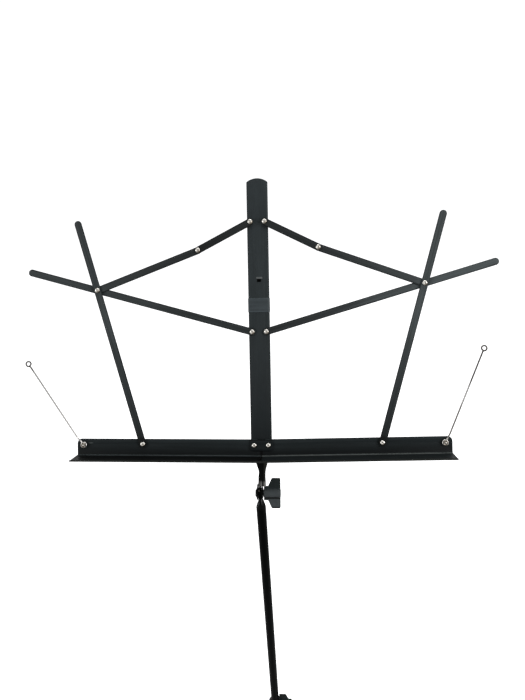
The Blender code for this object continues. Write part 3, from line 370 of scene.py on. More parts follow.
def coated(tree, coat, strength, deep):
    """Links an effect's colour, roughness and height to the shader."""
    shader = tree.nodes["Principled BSDF"].inputs
    raised = tree.nodes.new("ShaderNodeBump")
    raised.inputs["Strength"].default_value = strength
    raised.inputs["Distance"].default_value = deep
    tree.links.new(coat.outputs["Height"], raised.inputs["Height"])
    tree.links.new(raised.outputs[0], shader["Normal"])
    tree.links.new(coat.outputs["Colour"], shader["Base Color"])
    tree.links.new(coat.outputs["Roughness"], shader["Roughness"])


def lacquer(name, tones, place, lines, gloss, shine, edge=(1.0, 1.0), bare=None):
    """Black lacquer drawn along X of a place; bare is where steel shows, and how much."""
    made, tree, shader, where = started(name)
    shader["Specular IOR Level"].default_value = shine
    along = laid(tree, where, place)
    # edge gives where the painted edge line lies and how much it darkens or lightens.
    coat = effect(tree, film, along, {"Draw lines": lines, "Gloss": gloss, "Edge at": edge[0],
                                      "Painted edge light": edge[1]})
    painted(tree, coat, tones, place)
    coated(tree, coat, 0.35, 0.03 * MM)
    if bare:
        start, end, amount = bare
        worn = effect(tree, rub, along, {"Start": start, "End": end, "Amount": amount})
        mask = worn.outputs["Mask"]
        tree.links.new(blended(tree, mask, coat.outputs["Colour"], bare_steel),
                       shader["Base Color"])
        tree.links.new(maths(tree, "MULTIPLY_ADD", mask, -0.05, coat.outputs["Roughness"]),
                       shader["Roughness"])
        tree.links.new(mask, shader["Metallic"])
    return made


def running(start, toward, up=(0, 0, 1)):
    """A place at start, with X towards a point and Z as near up as that allows."""
    ahead = (Vector(toward) - Vector(start)).normalized()
    aside = Vector(up).cross(ahead).normalized()
    place = Matrix((ahead, aside, ahead.cross(aside))).transposed().to_4x4()
    place.translation = Vector(start)
    return place


def tube_from(node):
    """A tube of its CAD node's size, with both ends deburred."""
    low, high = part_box(node)
    outer = (high.x - low.x) / 2
    inner = outer - tube_wall
    foot, head = low.z + tube_ease, high.z - tube_ease
    return turned([(outer, foot), (outer, head), (outer - tube_ease, high.z),
                   (inner + tube_ease / 2, high.z), (inner, head), (inner, foot),
                   (inner + tube_ease / 2, low.z), (outer - tube_ease, low.z), (outer, foot)])


tube_black = (0.0005, 0.0007, 0.0006)
column_line = running((0, 0, 0), (0, 0, 1), (0, 1, 0))
for tube, tube_body, draw in (("base_tube", "column_base", 0.35),
                              ("middle_tube", "column_middle", 0.5)):
    tube_finish = lacquer(tube + "_lacquer", tube_black, column_line, draw, 0.3, 0.01)
    fitted(tube, tube_from(tube), tube_finish, tube_body)

# ----------------------------------------------------------------- upper tube
# The thinnest tube, its top pressed flat into a rounded tang for the tilt bolt.
# Pressing it flat left a shoulder, where the lacquer is rubbed through.
joints = {joint["name"]: joint for joint in frame["joints"]}
upper_round = 6.2 * MM
tang_half = 1.7 * MM
tang_round = 8.5 * MM
shoulder = 25.0 * MM
flat_start = tang_round + 2.5 * MM
tang_trim = 0.4 * MM
tang_round_below = 2.0 * MM
ring_step = 1.25 * MM
ring_dots = 64
foot_ease = 0.3 * MM
foot_scale = 0.95


def pin(joint):
    """Where a joint's pin is on the resting stand."""
    return Vector(joints[joint]["pos_m"])


def looped(work, points):
    """A closed ring of edges through points."""
    dots = [work.verts.new(point) for point in points]
    return [work.edges.new(pair) for pair in zip(dots, dots[1:] + dots[:1])]


def eased(share):
    """A share from 0 to 1 that starts and ends softly."""
    return share * share * (3 - 2 * share)


def lofted(sections):
    """A closed piece bridged through rings of points, capped at both ends."""
    work = bmesh.new()
    loops = [looped(work, section) for section in sections]
    for near, far in zip(loops, loops[1:]):
        bmesh.ops.bridge_loops(work, edges=near + far)
    for rim in (loops[0], loops[-1]):
        bmesh.ops.edgeloop_fill(work, edges=rim)
    bmesh.ops.recalc_face_normals(work, faces=work.faces)
    return work


def upper_tube_ring(drop, scale=1.0):
    """The tube's outline that far below the tilt bolt, rounder or flatter."""
    flat = eased(min(1.0, max(0.0, (shoulder - drop) / (shoulder - flat_start))))
    half_x = (upper_round + (tang_half - upper_round) * flat) * scale
    half_y = (upper_round + (tang_round - tang_trim - upper_round) * flat) * scale
    if drop < tang_round_below:
        half_y = sqrt(tang_round ** 2 - drop ** 2)
    square = 1 + 2.2 * abs(half_y - half_x) / (half_y + half_x)
    ring = []
    for k in range(ring_dots):
        c, s = cos(2 * pi * k / ring_dots), sin(2 * pi * k / ring_dots)
        ring.append((half_x * abs(c) ** (1 / square) * (1 if c >= 0 else -1),
                     half_y * abs(s) ** (1 / square) * (1 if s >= 0 else -1),
                     tilt_axis.z - drop))
    return ring


tilt_axis = pin("desk_tilt")
tube_foot = tilt_axis.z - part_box("upper_tube")[0].z
drops = [tube_foot - foot_ease] + [shoulder + 1 * MM - ring_step * k for k in range(13)]
drops += [8 * MM, 5.5 * MM, 3 * MM] + [-tang_round * sin(radians(a)) for a in range(-6, 86, 7)]
upper_finish = lacquer("upper_tube_lacquer", tube_black,
                       running(tilt_axis, (0, 0, 0), (0, 1, 0)), 0.5, 0.3, 0.01,
                       bare=(15 * MM, 27 * MM, 0.30))
fitted("upper_tube",
       lofted([upper_tube_ring(tube_foot, foot_scale)]
              + [upper_tube_ring(drop) for drop in drops]),
       upper_finish, "column_upper")

# --------------------------------------------------------------- tube clamps
# Moulded collars over the ends of the two wider tubes, each with a boss for its
# wing screw. They are black nylon with a fine spark-eroded grain.
grain, grain_in, grain_out = effect_group(
    "moulded_grain", (("Colour", (0.02, 0.02, 0.02, 1)), ("Gloss", 0.5)),
    "Colour", "Roughness", "Height")
grain_fine = grained(grain, grain_in["Vector"], (3200, 3200, 3200), 2.0, 0.6)
grain_flow = grained(grain, grain_in["Vector"], (220, 220, 90), 3.0, 0.6)
grain_scuff = grained(grain, grain_in["Vector"], (500, 1400, 500), 4.0, 0.7)
grain_scuff = held(grain, maths(grain, "MULTIPLY_ADD", grain_scuff, 10.0, -6.6))
grain_tone = maths(grain, "MULTIPLY_ADD", grain_flow, 0.7, 0.65)
grain_tone = maths(grain, "MULTIPLY_ADD", grain_scuff, 0.8, grain_tone)
grain.links.new(shaded(grain, grain_in["Colour"], grain_tone), grain_out["Colour"])
grain.links.new(maths(grain, "MULTIPLY_ADD", grain_flow, 0.14, grain_in["Gloss"]),
                grain_out["Roughness"])
grain.links.new(grain_fine, grain_out["Height"])


def moulding(name, tones, gloss, shine, deep=0.05 * MM, place=None):
    """Moulded black, in one colour or in tones along X of a place."""
    made, tree, shader, where = started(name)
    shader["Specular IOR Level"].default_value = shine
    skin = effect(tree, grain, where, {"Gloss": gloss})
    painted(tree, skin, tones, place)
    coated(tree, skin, 0.4, deep)
    return made


def sharp_edges(work, least):
    """The edges that turn by more than that many degrees."""
    return [edge for edge in work.edges
            if edge.is_manifold and edge.calc_face_angle() > radians(least)]


def rounded(work, edges, width, segments):
    """Rounds edges of the work."""
    bmesh.ops.bevel(work, geom=edges, offset=width, offset_type="OFFSET", segments=segments,
                    profile=0.5, affect="EDGES", clamp_overlap=True, material=-1)


def eased_copy(node, width, segments=3):
    """A copy of a solid with its triangles merged and its edges rounded."""
    work = bmesh.new()
    work.from_mesh(frame["nodes"][node].data)
    bmesh.ops.remove_doubles(work, verts=work.verts, dist=0.001 * MM)
    bmesh.ops.dissolve_limit(work, angle_limit=radians(0.6), use_dissolve_boundaries=False,
                             verts=work.verts, edges=work.edges, delimit=set())
    rounded(work, sharp_edges(work, 30), width, segments)
    return work


def fitted_copy(node, width, finish, body):
    """Fits a solid's own copy, with its edges rounded."""
    fitted(node, eased_copy(node, width), finish, body)


clamp_finish = moulding("clamp_nylon", (0.006, 0.0066, 0.007), 0.42, 0.15)
for clamp, clamp_body in (("middle_clamp", "column_middle"), ("base_clamp", "column_base")):
    fitted_copy(clamp, 0.45 * MM, clamp_finish, clamp_body)

# ---------------------------------------------------------------- wing screws
# Four steel screws with moulded wing heads: a round hub and a flat blade that
# steps out to two squared wings, with softened edges all round.
hub_round = 5.2 * MM
hub_soft = 0.9 * MM
head_long = 21.3 * MM
screw_ease = 0.4 * MM
root_half = 8.7 * MM
root_long = 5.6 * MM
root_gap = 0.4 * MM
root_corner = 1.0 * MM
wing_half = 18.5 * MM
wing_broad = 11.7 * MM
wing_corner = 1.6 * MM
wing_gap = 0.3 * MM
blade_thick = 2.8 * MM
blade_ease = 0.8 * MM
# Wing head tones: a base tone, a painted shadow and a painted light.
wing_base_tone = (0.006, 0.009, 0.009)
wing_painted_shadow = (0.0012, 0.0015, 0.0015)
wing_painted_light = (0.036, 0.041, 0.043)


def plate(outline, low, high, ease, place, holes=(), segments=2):
    """A flat blank of an outline and round holes (x, y, radius), with eased edges."""
    work = bmesh.new()
    looped(work, [(x, y, low) for x, y in outline])
    for x, y, radius in holes:
        bmesh.ops.create_circle(work, segments=24, radius=radius,
                                matrix=Matrix.Translation((x, y, low)))
    bmesh.ops.triangle_fill(work, use_beauty=True, use_dissolve=False, edges=work.edges,
                            normal=(0, 0, 1))
    raised = bmesh.ops.extrude_face_region(work, geom=work.faces)["geom"]
    bmesh.ops.translate(work, vec=(0, 0, high - low),
                        verts=[part for part in raised if isinstance(part, bmesh.types.BMVert)])
    bmesh.ops.recalc_face_normals(work, faces=work.faces)
    rims = [edge for edge in sharp_edges(work, 60)
            if abs(edge.verts[0].co.z - edge.verts[1].co.z) < 0.01 * MM]
    rounded(work, rims, ease, segments)
    work.transform(place)
    return work


def arc(x, y, radius, start, stop, count):
    """Points round a centre, from one angle in degrees to another."""
    turn = [radians(start + (stop - start) * k / count) for k in range(count + 1)]
    return [(x + radius * cos(a), y + radius * sin(a)) for a in turn]


def wing_outline(seat, top):
    """The blade's outline, from its root over the seat to its wings at the top."""
    root = seat + root_gap
    near = top - wing_broad
    half = [(0, root), (root_half - root_corner, root)]
    half += arc(root_half - root_corner, root + root_corner, root_corner, -60, 0, 3)
    half += [(root_half, seat + root_long)]
    half += arc(wing_half - wing_corner, near + wing_corner, wing_corner, -70, 0, 5)
    half += arc(wing_half - wing_corner, top - wing_gap - wing_corner, wing_corner, 0, 90, 6)
    return half + [(-x, z) for x, z in half[::-1]][:-1]


def make_wing_screw(node, joint, body, screw_round):
    """A wing screw on its joint's axis, its blade where the solid's blade is."""
    axis = Vector(joints[joint]["axis"])
    centre = pin(joint)
    corners = [vert.co - centre for vert in frame["nodes"][node].data.vertices]
    head_way = 1 if max(corner.dot(axis) for corner in corners) > wing_broad else -1
    widest = max(corners, key=lambda corner: (corner - axis * corner.dot(axis)).length)
    axis = axis * head_way
    top = max(corner.dot(axis) for corner in corners)
    tip = min(corner.dot(axis) for corner in corners)
    wing_way = (widest - axis * widest.dot(axis)).normalized()
    place = Matrix((wing_way, axis.cross(wing_way), axis)).transposed().to_4x4()
    place.translation = centre
    seat = top - head_long
    hub = [(0, top), (hub_round - hub_soft, top)]
    hub += [(hub_round - hub_soft + hub_soft * sin(radians(a)),
             top - hub_soft + hub_soft * cos(radians(a))) for a in (22, 45, 68)]
    hub += [(hub_round, top - hub_soft), (hub_round, seat + screw_ease),
            (hub_round - screw_ease, seat), (screw_round, seat), (screw_round, tip + screw_ease),
            (screw_round - screw_ease, tip), (0, tip)]
    work = turned(hub, 48)
    work.transform(place)
    stand_up = Matrix(((1, 0, 0, 0), (0, 0, -1, 0), (0, 1, 0, 0), (0, 0, 0, 1)))
    blade = plate(wing_outline(seat, top), -blade_thick / 2, blade_thick / 2, blade_ease,
                  place @ stand_up, segments=3)
    blade_mesh = bpy.data.meshes.new(node + "_blade")
    blade.to_mesh(blade_mesh)
    blade.free()
    work.from_mesh(blade_mesh)
    bpy.data.meshes.remove(blade_mesh)
    # Painted light: the hub and the lower wing are painted lighter, as lit, a painted
    # shadow lies just below the hub, and both wing ends are painted darker.
    lower = place if place.col[0].z < 0 else place @ Matrix.Rotation(pi, 4, "Z")
    tones = [(-wing_half, (0.003, 0.004, 0.004)), (-wing_half + 1.4 * MM, wing_base_tone),
             (-7.5 * MM, wing_base_tone), (-5.6 * MM, (0.010, 0.014, 0.015)),
             (-4.2 * MM, wing_painted_light), (4.6 * MM, wing_painted_light), (5.5 * MM, wing_painted_shadow),
             (6.6 * MM, wing_painted_shadow), (7.6 * MM, wing_painted_light),
             (wing_half - 2.2 * MM, wing_painted_light), (wing_half - 1.0 * MM, wing_painted_shadow)]
    finish = moulding(node + "_nylon", tones, 0.42, 0.08, place=lower)
    fitted(node, work, finish, body, crease=40)


for screw, screw_joint, screw_body, screw_round in (
        ("tilt_wing_bolt", "tilt_bolt_turn", "tilt_bolt", 2.7 * MM),
        ("middle_clamp_screw", "middle_clamp_turn", "middle_clamp_screw", 2.5 * MM),
        ("base_clamp_screw", "base_clamp_turn", "base_clamp_screw", 2.5 * MM),
        ("leg_collar_screw", "collar_screw_turn", "leg_collar_screw", 2.2 * MM)):
    make_wing_screw(screw, screw_joint, screw_body, screw_round)

# --------------------------------------------------------------------- tripod
# A fixed hub and a sliding collar carry three legs of folded strip steel, each
# braced by a flat stay on bright pins. The legs end in push-on rubber feet.
leg_black = (0.005, 0.0056, 0.006)
hub_finish = lacquer("hub_lacquer", (0.004, 0.0044, 0.0046), running((0, 0, 0), (0, 1, 0)),
                     0.2, 0.34, 0.12)
fitted_copy("leg_hub", 0.35 * MM, hub_finish, "column_base")
fitted_copy("leg_collar", 0.35 * MM, hub_finish, "leg_collar")
rubber_finish = moulding("foot_rubber", (0.008, 0.008, 0.0082), 0.72, 0.2, 0.09 * MM)
for number in (1, 2, 3):
    leg, stay = f"leg_{number}", f"stay_{number}"
    leg_low, leg_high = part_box(leg)
    stay_low, stay_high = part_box(stay)
    middle = (leg_low + leg_high) / 2
    for strip, strip_start, strip_end in (
            (leg, (0, 0, leg_high.z), (2 * middle.x, 2 * middle.y, leg_low.z)),
            (stay, (0, 0, stay_low.z), (middle.x, middle.y, stay_high.z))):
        strip_finish = lacquer(strip + "_lacquer", leg_black, running(strip_start, strip_end),
                               0.45, 0.34, 0.12)
        fitted_copy(strip, 0.3 * MM, strip_finish, strip)
    fitted_copy(f"foot_{number}", 0.3 * MM, rubber_finish, leg)
fitted_copy("tube_plug", 0.3 * MM, rubber_finish, "column_base")

# ------------------------------------------------------------ desk and rivets
# Everything on the desk lies in plies square to its face. The rivets are bright
# nickel, with a shallow dimple that the setting punch left in each head.
head_round = 3.1 * MM
head_high = 1.5 * MM
rim_high = 0.25 * MM
rim_ease = 0.12 * MM
shank_round = 1.6 * MM
tail_round = 2.6 * MM
tail_high = 0.8 * MM
tail_ease = 0.3 * MM
across = Vector((1, 0, 0))
face = Vector(joints["right_fold"]["axis"])
desk_middle = (pin("right_fold") + pin("left_fold")) / 2
desk = Matrix((across, face.cross(across), face)).transposed().to_4x4()
desk.translation = desk_middle
on_desk = desk.inverted()


def spots_of(node, measure):
    """The points of a solid, as a matrix measures them."""
    return [measure @ vert.co for vert in frame["nodes"][node].data.vertices]


def desk_box(node):
    """Lowest and highest corner of a solid across, up and out of the desk."""
    spots = spots_of(node, on_desk)
    return (Vector([min(spot[k] for spot in spots) for k in range(3)]),
            Vector([max(spot[k] for spot in spots) for k in range(3)]))


plating, plating_in, plating_out = effect_group(
    "nickel_plate", (("Colour", (0.8, 0.79, 0.76, 1)), ("Tarnish", 0.3)),
    "Colour", "Roughness", "Height")
plating_cloud = grained(plating, plating_in["Vector"], (420, 420, 420), 4.0, 0.65)
plating_pits = grained(plating, plating_in["Vector"], (2400, 2400, 2400), 2.0, 0.6)
plating_dull = product(plating, plating_cloud, plating_in["Tarnish"])
plating.links.new(blended(plating, plating_dull, plating_in["Colour"], (0.26, 0.24, 0.21)),
                  plating_out["Colour"])
plating.links.new(maths(plating, "MULTIPLY_ADD", plating_dull, 0.5, 0.13),
                  plating_out["Roughness"])
plating.links.new(plating_pits, plating_out["Height"])


def nickel(name, tarnish):
    """Nickel plate, its nodes, and the socket that takes a piece's colour and painted light."""
    made, tree, shader, where = started(name)
    shader["Metallic"].default_value = 1.0
    coat = effect(tree, plating, where, {"Tarnish": tarnish})
    coated(tree, coat, 0.2, 0.02 * MM)
    return made, tree, coat.inputs["Colour"]


def keep_spots(work, radius):
    """Notes on the mesh where each point lies on its head, in radii, and how far out."""
    spot = work.verts.layers.float_vector.new("head_spot")
    for vert in work.verts:
        x, y = vert.co.x / radius, vert.co.y / radius
        vert[spot] = (x, y, sqrt(x * x + y * y))


def head_spot(tree):
    """The place that keep_spots noted, as X, Y and how far out."""
    noted = tree.nodes.new("ShaderNodeAttribute")
    noted.attribute_name = "head_spot"
    noted.attribute_type = "GEOMETRY"
    return parted(tree, noted.outputs["Vector"])


# Painted light and shade on each head: lighter to the upper left, a brown painted
# shade to the lower right, and its dimple painted dark as painted shade.
shade_way = (0.62, -0.72)
rivet_finish, rivet_tree, rivet_colour = nickel("rivet_nickel", 0.25)
rivet_spot = head_spot(rivet_tree)
rivet_shade_side = maths(rivet_tree, "MULTIPLY_ADD", rivet_spot["X"], shade_way[0],
                  product(rivet_tree, rivet_spot["Y"], shade_way[1]))
rivet_light_and_shade = blended(rivet_tree, between(rivet_tree, rivet_shade_side, -0.05, 0.72),
                     (0.46, 0.45, 0.42), (0.11, 0.09, 0.065))
rivet_dimple_shade = between(rivet_tree, rivet_spot["Z"], 0.34, 0.16)
rivet_tree.links.new(blended(rivet_tree, rivet_dimple_shade, rivet_light_and_shade, (0.09, 0.075, 0.06)),
                     rivet_colour)


def domed(radius, base, rise):
    """Profile of a dimpled rivet head, from its middle to its lower rim."""
    dimple = ((0, 0.42), (0.10, 0.40), (0.18, 0.28), (0.27, 0.10), (0.36, 0.01))
    points = [(share * radius, base + rise - deep * MM) for share, deep in dimple]
    for a in range(30, 91, 10):
        points.append((radius * sin(radians(a)) ** 0.9, base + rim_high
                       + (rise - rim_high) * cos(radians(a - 18) * 90 / 72)))
    return points + [(radius, base + rim_ease), (radius - rim_ease, base)]


def tail_from(low):
    """Profile of a rivet's tail, from the foot of its shank to its middle."""
    return [(shank_round, low + tail_high), (tail_round, low + tail_high),
            (tail_round, low + tail_ease), (tail_round - tail_ease, low), (0, low)]


def make_rivet(node, body, tailed):
    """A rivet, or the front half of one, which has no tail."""
    low, high = desk_box(node)
    seat = high.z - head_high
    points = domed(head_round, seat, head_high) + [(shank_round, seat)]
    points += tail_from(low.z) if tailed else [(shank_round, low.z), (0, low.z)]
    work = turned(points, 36)
    keep_spots(work, head_round)
    work.transform(desk @ Matrix.Translation(((low.x + high.x) / 2, (low.y + high.y) / 2, 0)))
    fitted(node, work, rivet_finish, body)


for word in ("left", "right"):
    for rivet, rivet_body, rivet_tailed in (
            (f"ledge_rivet_{word}", "desk", True),
            (f"lower_arm_rivet_{word}", "desk", True),
            (f"inner_link_rivet_{word}", "desk", True),
            (f"vertical_arm_rivet_{word}", f"ledge_{word}", True),
            (f"star_rivet_front_{word}", f"vertical_arm_{word}", False),
            (f"knee_rivet_front_{word}", f"inner_link_{word}", False)):
        make_rivet(rivet, rivet_body, rivet_tailed)

# The brace pins, and the rear halves of the star and knee rivets, stay as the solids.
pin_finish = nickel("pin_nickel", 0.6)[0]
for plain in ("brace_pin_1", "brace_pin_2", "brace_pin_3", "star_rivet_rear_left",
              "star_rivet_rear_right", "knee_rivet_rear_left", "knee_rivet_rear_right"):
    frame["nodes"][plain].data.materials.clear()
    frame["nodes"][plain].data.materials.append(pin_finish)

# ------------------------------------------------------- channel, tape, cover
# The desk's spine is a strip channel with an arched top and a square slot with a
# raised lip. A band of clear tape goes round it, and a cover plate over its foot.
# The channel's lacquer is painted darker towards its foot by the ledges, as painted shade.
channel_finish = lacquer("channel_lacquer",
                         [(0.0, (0.0050, 0.0066, 0.0072)), (0.03, (0.0078, 0.0102, 0.0110)),
                          (0.09, (0.0112, 0.0140, 0.0150)), (0.15, (0.0138, 0.0176, 0.0186)),
                          (0.32, (0.0148, 0.0188, 0.0204))],
                         running(desk_middle, desk @ Vector((0, 0.3, 0)), face),
                         0.25, 0.45, 0.1)
channel_tree = channel_finish.node_tree
channel_coat = channel_tree.nodes["Group"].outputs
channel_shader = channel_tree.nodes["Principled BSDF"].inputs
channel_at = parted(channel_tree, channel_tree.nodes["Mapping"].outputs[0])


def channel_stretch(near, far, out):
    """Marks a stretch of the channel, by its fades at both ends and out of the desk."""
    return product(channel_tree, *(between(channel_tree, channel_at[way], *fade, soft=False)
                                   for way, fade in (("X", near), ("X", far), ("Z", out))))


# The slot is painted black as painted shade, and the lip above it painted pale as a painted
# highlight.
slot_shade_mask = channel_stretch((201.4 * MM, 202.2 * MM), (206.2 * MM, 205.4 * MM),
                          (-0.1 * MM, -0.4 * MM))
lip_highlight_mask = channel_stretch((205.4 * MM, 205.7 * MM), (208.6 * MM, 207.4 * MM),
                              (0.35 * MM, 0.7 * MM))
channel_lip_highlight = blended(channel_tree, lip_highlight_mask, channel_coat["Colour"],
                         (0.060, 0.064, 0.064))
channel_tree.links.new(blended(channel_tree, slot_shade_mask, channel_lip_highlight, (0, 0, 0)),
                       channel_shader["Base Color"])
channel_tree.links.new(maths(channel_tree, "MULTIPLY_ADD", slot_shade_mask, 0.5,
                             channel_coat["Roughness"]), channel_shader["Roughness"])
fitted_copy("desk_channel", 0.25 * MM, channel_finish, "desk")

cover_half = 7.1 * MM
# The cover's lacquer has a painted shade line along its top and bottom edges.
cover_finish = lacquer("cover_lacquer", (0.0055, 0.0072, 0.0078),
                       running(desk_middle, desk @ Vector((1, 0, 0)), face), 0.4, 0.32, 0.06,
                       edge=(cover_half, 0.1))
fitted_copy("cover_plate", 0.3 * MM, cover_finish, "desk")

tape_low, tape_high = desk_box("tape_band")
tape_middle = desk @ Vector((0, (tape_low.y + tape_high.y) / 2, 0))
# The tape's film has a painted highlight line along both its edges.
tape_finish = lacquer("tape_film", (0.023, 0.029, 0.032),
                      running(tape_middle, tape_middle + across, face), 0.5, 0.35, 0.15,
                      edge=((tape_high.y - tape_low.y) / 2, 1.6))
fitted("tape_band", eased_copy("tape_band", 0.05 * MM, 1), tape_finish, "desk")

# --------------------------------------------------------------- tilt bracket
# One steel pressing: a plate riveted behind the ledges, a neck drawn in to a
# narrow U, and two ears that clip either side of the tube's flattened top.
bracket_finish = lacquer("bracket_lacquer", (0.0012, 0.0015, 0.0013),
                         running(tilt_axis, desk_middle, across), 0.3, 0.3, 0.03)
bracket_tree = bracket_finish.node_tree
bracket_up = parted(bracket_tree, bracket_tree.nodes["Mapping"].outputs[0])["X"]
# Painted light on the neck: pale streaks across it stand for bare edges, painted bright as glints,
# with painted shade in the gaps beside the tang.
bracket_glint_band = product(bracket_tree, between(bracket_tree, bracket_up, 17.5 * MM, 13.5 * MM),
                       between(bracket_tree, bracket_up, 7.6 * MM, 9.4 * MM))
bracket_wide = running(tilt_axis, tilt_axis + across)
bracket_glints_and_gaps = tone_ramp(
    bracket_tree, bracket_wide,
    [(-3.4 * MM, (0.030, 0.028, 0.024)), (-2.6 * MM, (0.010, 0.010, 0.009)),
     (-0.8 * MM, (0.014, 0.014, 0.013)), (0.2 * MM, (0.075, 0.072, 0.068)),
     (1.2 * MM, (0.050, 0.049, 0.047)), (2.2 * MM, (0.140, 0.138, 0.132)),
     (3.2 * MM, (0.004, 0.004, 0.004)), (4.4 * MM, (0.004, 0.004, 0.004)),
     (5.2 * MM, (0.100, 0.097, 0.090)), (7.6 * MM, (0.160, 0.158, 0.152))])
# A painted highlight down the right flange.
bracket_side_highlight = tone_ramp(bracket_tree, bracket_wide,
                         [(4.8 * MM, (0, 0, 0)), (6.4 * MM, (0.016, 0.016, 0.014))])
bracket_lit = bracket_tree.nodes.new("ShaderNodeVectorMath")
bracket_lit.operation = "ADD"
bracket_tree.links.new(bracket_tree.nodes["Group"].outputs["Colour"], bracket_lit.inputs[0])
bracket_tree.links.new(bracket_side_highlight, bracket_lit.inputs[1])
bracket_tree.links.new(
    blended(bracket_tree, bracket_glint_band, bracket_lit.outputs[0], bracket_glints_and_gaps),
    bracket_tree.nodes["Principled BSDF"].inputs["Base Color"])
fitted_copy("tilt_bracket", 0.2 * MM, bracket_finish, "desk")
fitted_copy("tilt_nut", 0.15 * MM, bracket_finish, "desk")

# --------------------------------------------------------------- ledge halves
# Two folded steel angles that carry the books, hinged on the cover's rivets, with
# a thick hem at the front. The lacquer has a painted highlight along the fold and
# painted shade down the face, and the hem's front face is painted one grey.
fold_line = -13.8 * MM
hem_line = 28.4 * MM
hem_inside = 28.8 * MM
hem_rise = 0.9 * MM
spot_along = 206.5 * MM
spot_up = 2.2 * MM


def ledge_lacquer(word, side, place, fold_highlight, lip_shade):
    """Ledge lacquer with painted shade down its face, lip and inner end, a painted highlight along
    its fold, and a grey front edge.
    """
    made = lacquer(f"ledge_{word}_lacquer", (0.010, 0.013, 0.0138),
                   running(desk_middle, desk @ Vector((side, 0, 0)), face), 0.35, 0.36, 0.06)
    tree = made.node_tree
    at = laid(tree, tree.nodes["Texture Coordinate"].outputs["Object"], place)
    along, up, out = parted(tree, at)
    # Painted shade: darker down the face, darker on the left lip and lighter on the right, and
    # dark at the inner end by the seam.
    shade = product(tree, between(tree, up, -12.5 * MM, 7.5 * MM, 0.28, 1.05),
                    between(tree, out, 3.0 * MM, 6.0 * MM, 1.0, lip_shade),
                    between(tree, product(tree, along, side), -8.0 * MM, -6.2 * MM, 0.1, 1.0))
    tone = shaded(tree, tree.nodes["Group"].outputs["Colour"], shade)
    ragged = grained(tree, at, (120, 900, 900), 3.0, 0.6)
    # A painted highlight along the fold, brighter on the right half.
    fold = product(tree, between(tree, up, fold_line + 1.8 * MM, fold_line + 1.1 * MM),
                   between(tree, out, 6.4 * MM, 5.2 * MM),
                   between(tree, ragged, 0.3, 0.6, 0.55, 1.0))
    # The hem's front face is painted one fixed grey, clear of the painted shade.
    front = product(tree, between(tree, out, 29.0 * MM, 30.4 * MM),
                    between(tree, ragged, 0.3, 0.6, 0.6, 1.0))
    tone = blended(tree, fold, tone, fold_highlight)
    tone = blended(tree, front, tone, (0.010, 0.011, 0.010))
    if side < 0:
        # The left half alone has a small rubbed spot towards its outer end.
        spot_x = product(tree, maths(tree, "SUBTRACT", along, side * spot_along), 260.0)
        spot_y = product(tree, maths(tree, "SUBTRACT", up, spot_up), 1100.0)
        spot = maths(tree, "MULTIPLY_ADD", spot_x, spot_x, product(tree, spot_y, spot_y))
        tone = blended(tree, between(tree, spot, 0.15, 1.0, 1.0, 0.0), tone,
                       (0.05, 0.056, 0.056))
    tree.links.new(tone, tree.nodes["Principled BSDF"].inputs["Base Color"])
    return made


def hemmed(work, place):
    """Raises the top of a ledge's front edge, past the hem line of its place."""
    turn = place.to_3x3()
    bmesh.ops.bisect_plane(work, geom=work.verts[:] + work.edges[:] + work.faces[:],
                           dist=0.001 * MM,
                           plane_co=place.translation + turn @ Vector((0, 0, hem_line)),
                           plane_no=turn @ Vector((0, 0, 1)))
    on_ledge = place.inverted()
    spots = [(vert, on_ledge @ vert.co) for vert in work.verts]
    hem = [(vert, spot.y) for vert, spot in spots if spot.z > hem_inside]
    middle = (max(up for vert, up in hem) + min(up for vert, up in hem)) / 2
    bmesh.ops.translate(work, verts=[vert for vert, up in hem if up > middle],
                        vec=turn @ Vector((0, hem_rise, 0)))
    return work


for word, side, fold_highlight, lip_shade in (("left", -1, (0.024, 0.029, 0.030), 0.3),
                                         ("right", 1, (0.050, 0.056, 0.054), 1.5)):
    ledge = f"ledge_{word}"
    eyelet_at = on_desk @ pin(f"{word}_wire")
    hinge_at = on_desk @ pin(f"{word}_fold")
    rise = atan2(eyelet_at.y - hinge_at.y, side * (eyelet_at.x - hinge_at.x))
    ledge_place = desk @ Matrix.Rotation(side * rise, 4, "Z")
    ledge_place.translation = pin(f"{word}_fold")
    ledge_finish = ledge_lacquer(word, side, ledge_place, fold_highlight, lip_shade)
    fitted(ledge, hemmed(eased_copy(ledge, 0.2 * MM), ledge_place), ledge_finish, ledge)

# ------------------------------------------------------------ arms and links
# Flat strips with round ends, sheared, drilled and lacquered: two long arms a
# side that cross at the star, and two links that meet at the knee.
strip_half = 4.4 * MM
strip_hole = 1.85 * MM
strip_ease = 0.25 * MM
strip_tint = (0.86, 1.02, 1.05)
# Painted light and shade along each strip: the vertical arms are painted dark where they meet the
# ledge, and the right-hand strips are painted lighter, as lit.
strip_light_and_shade = {
    "vertical_arm_left": [(-5, 0.004), (7, 0.004), (10, 0.012), (26, 0.016), (90, 0.022),
                          (150, 0.031), (210, 0.030), (290, 0.026)],
    "vertical_arm_right": [(-5, 0.004), (7, 0.004), (10, 0.012), (26, 0.014), (90, 0.023),
                           (180, 0.043), (250, 0.040), (290, 0.036)],
    "lower_arm_left": [(0, 0.014), (42, 0.017), (106, 0.021), (200, 0.030), (290, 0.027)],
    "lower_arm_right": [(0, 0.013), (42, 0.017), (106, 0.027), (180, 0.046), (215, 0.055),
                        (290, 0.050)],
    "inner_link_left": [(0, 0.010), (30, 0.009), (75, 0.006)],
    "inner_link_right": [(0, 0.011), (75, 0.012)],
    "outer_link_left": [(0, 0.032), (14, 0.023), (66, 0.018), (135, 0.014)],
    "outer_link_right": [(0, 0.050), (14, 0.029), (66, 0.024), (135, 0.017)]}


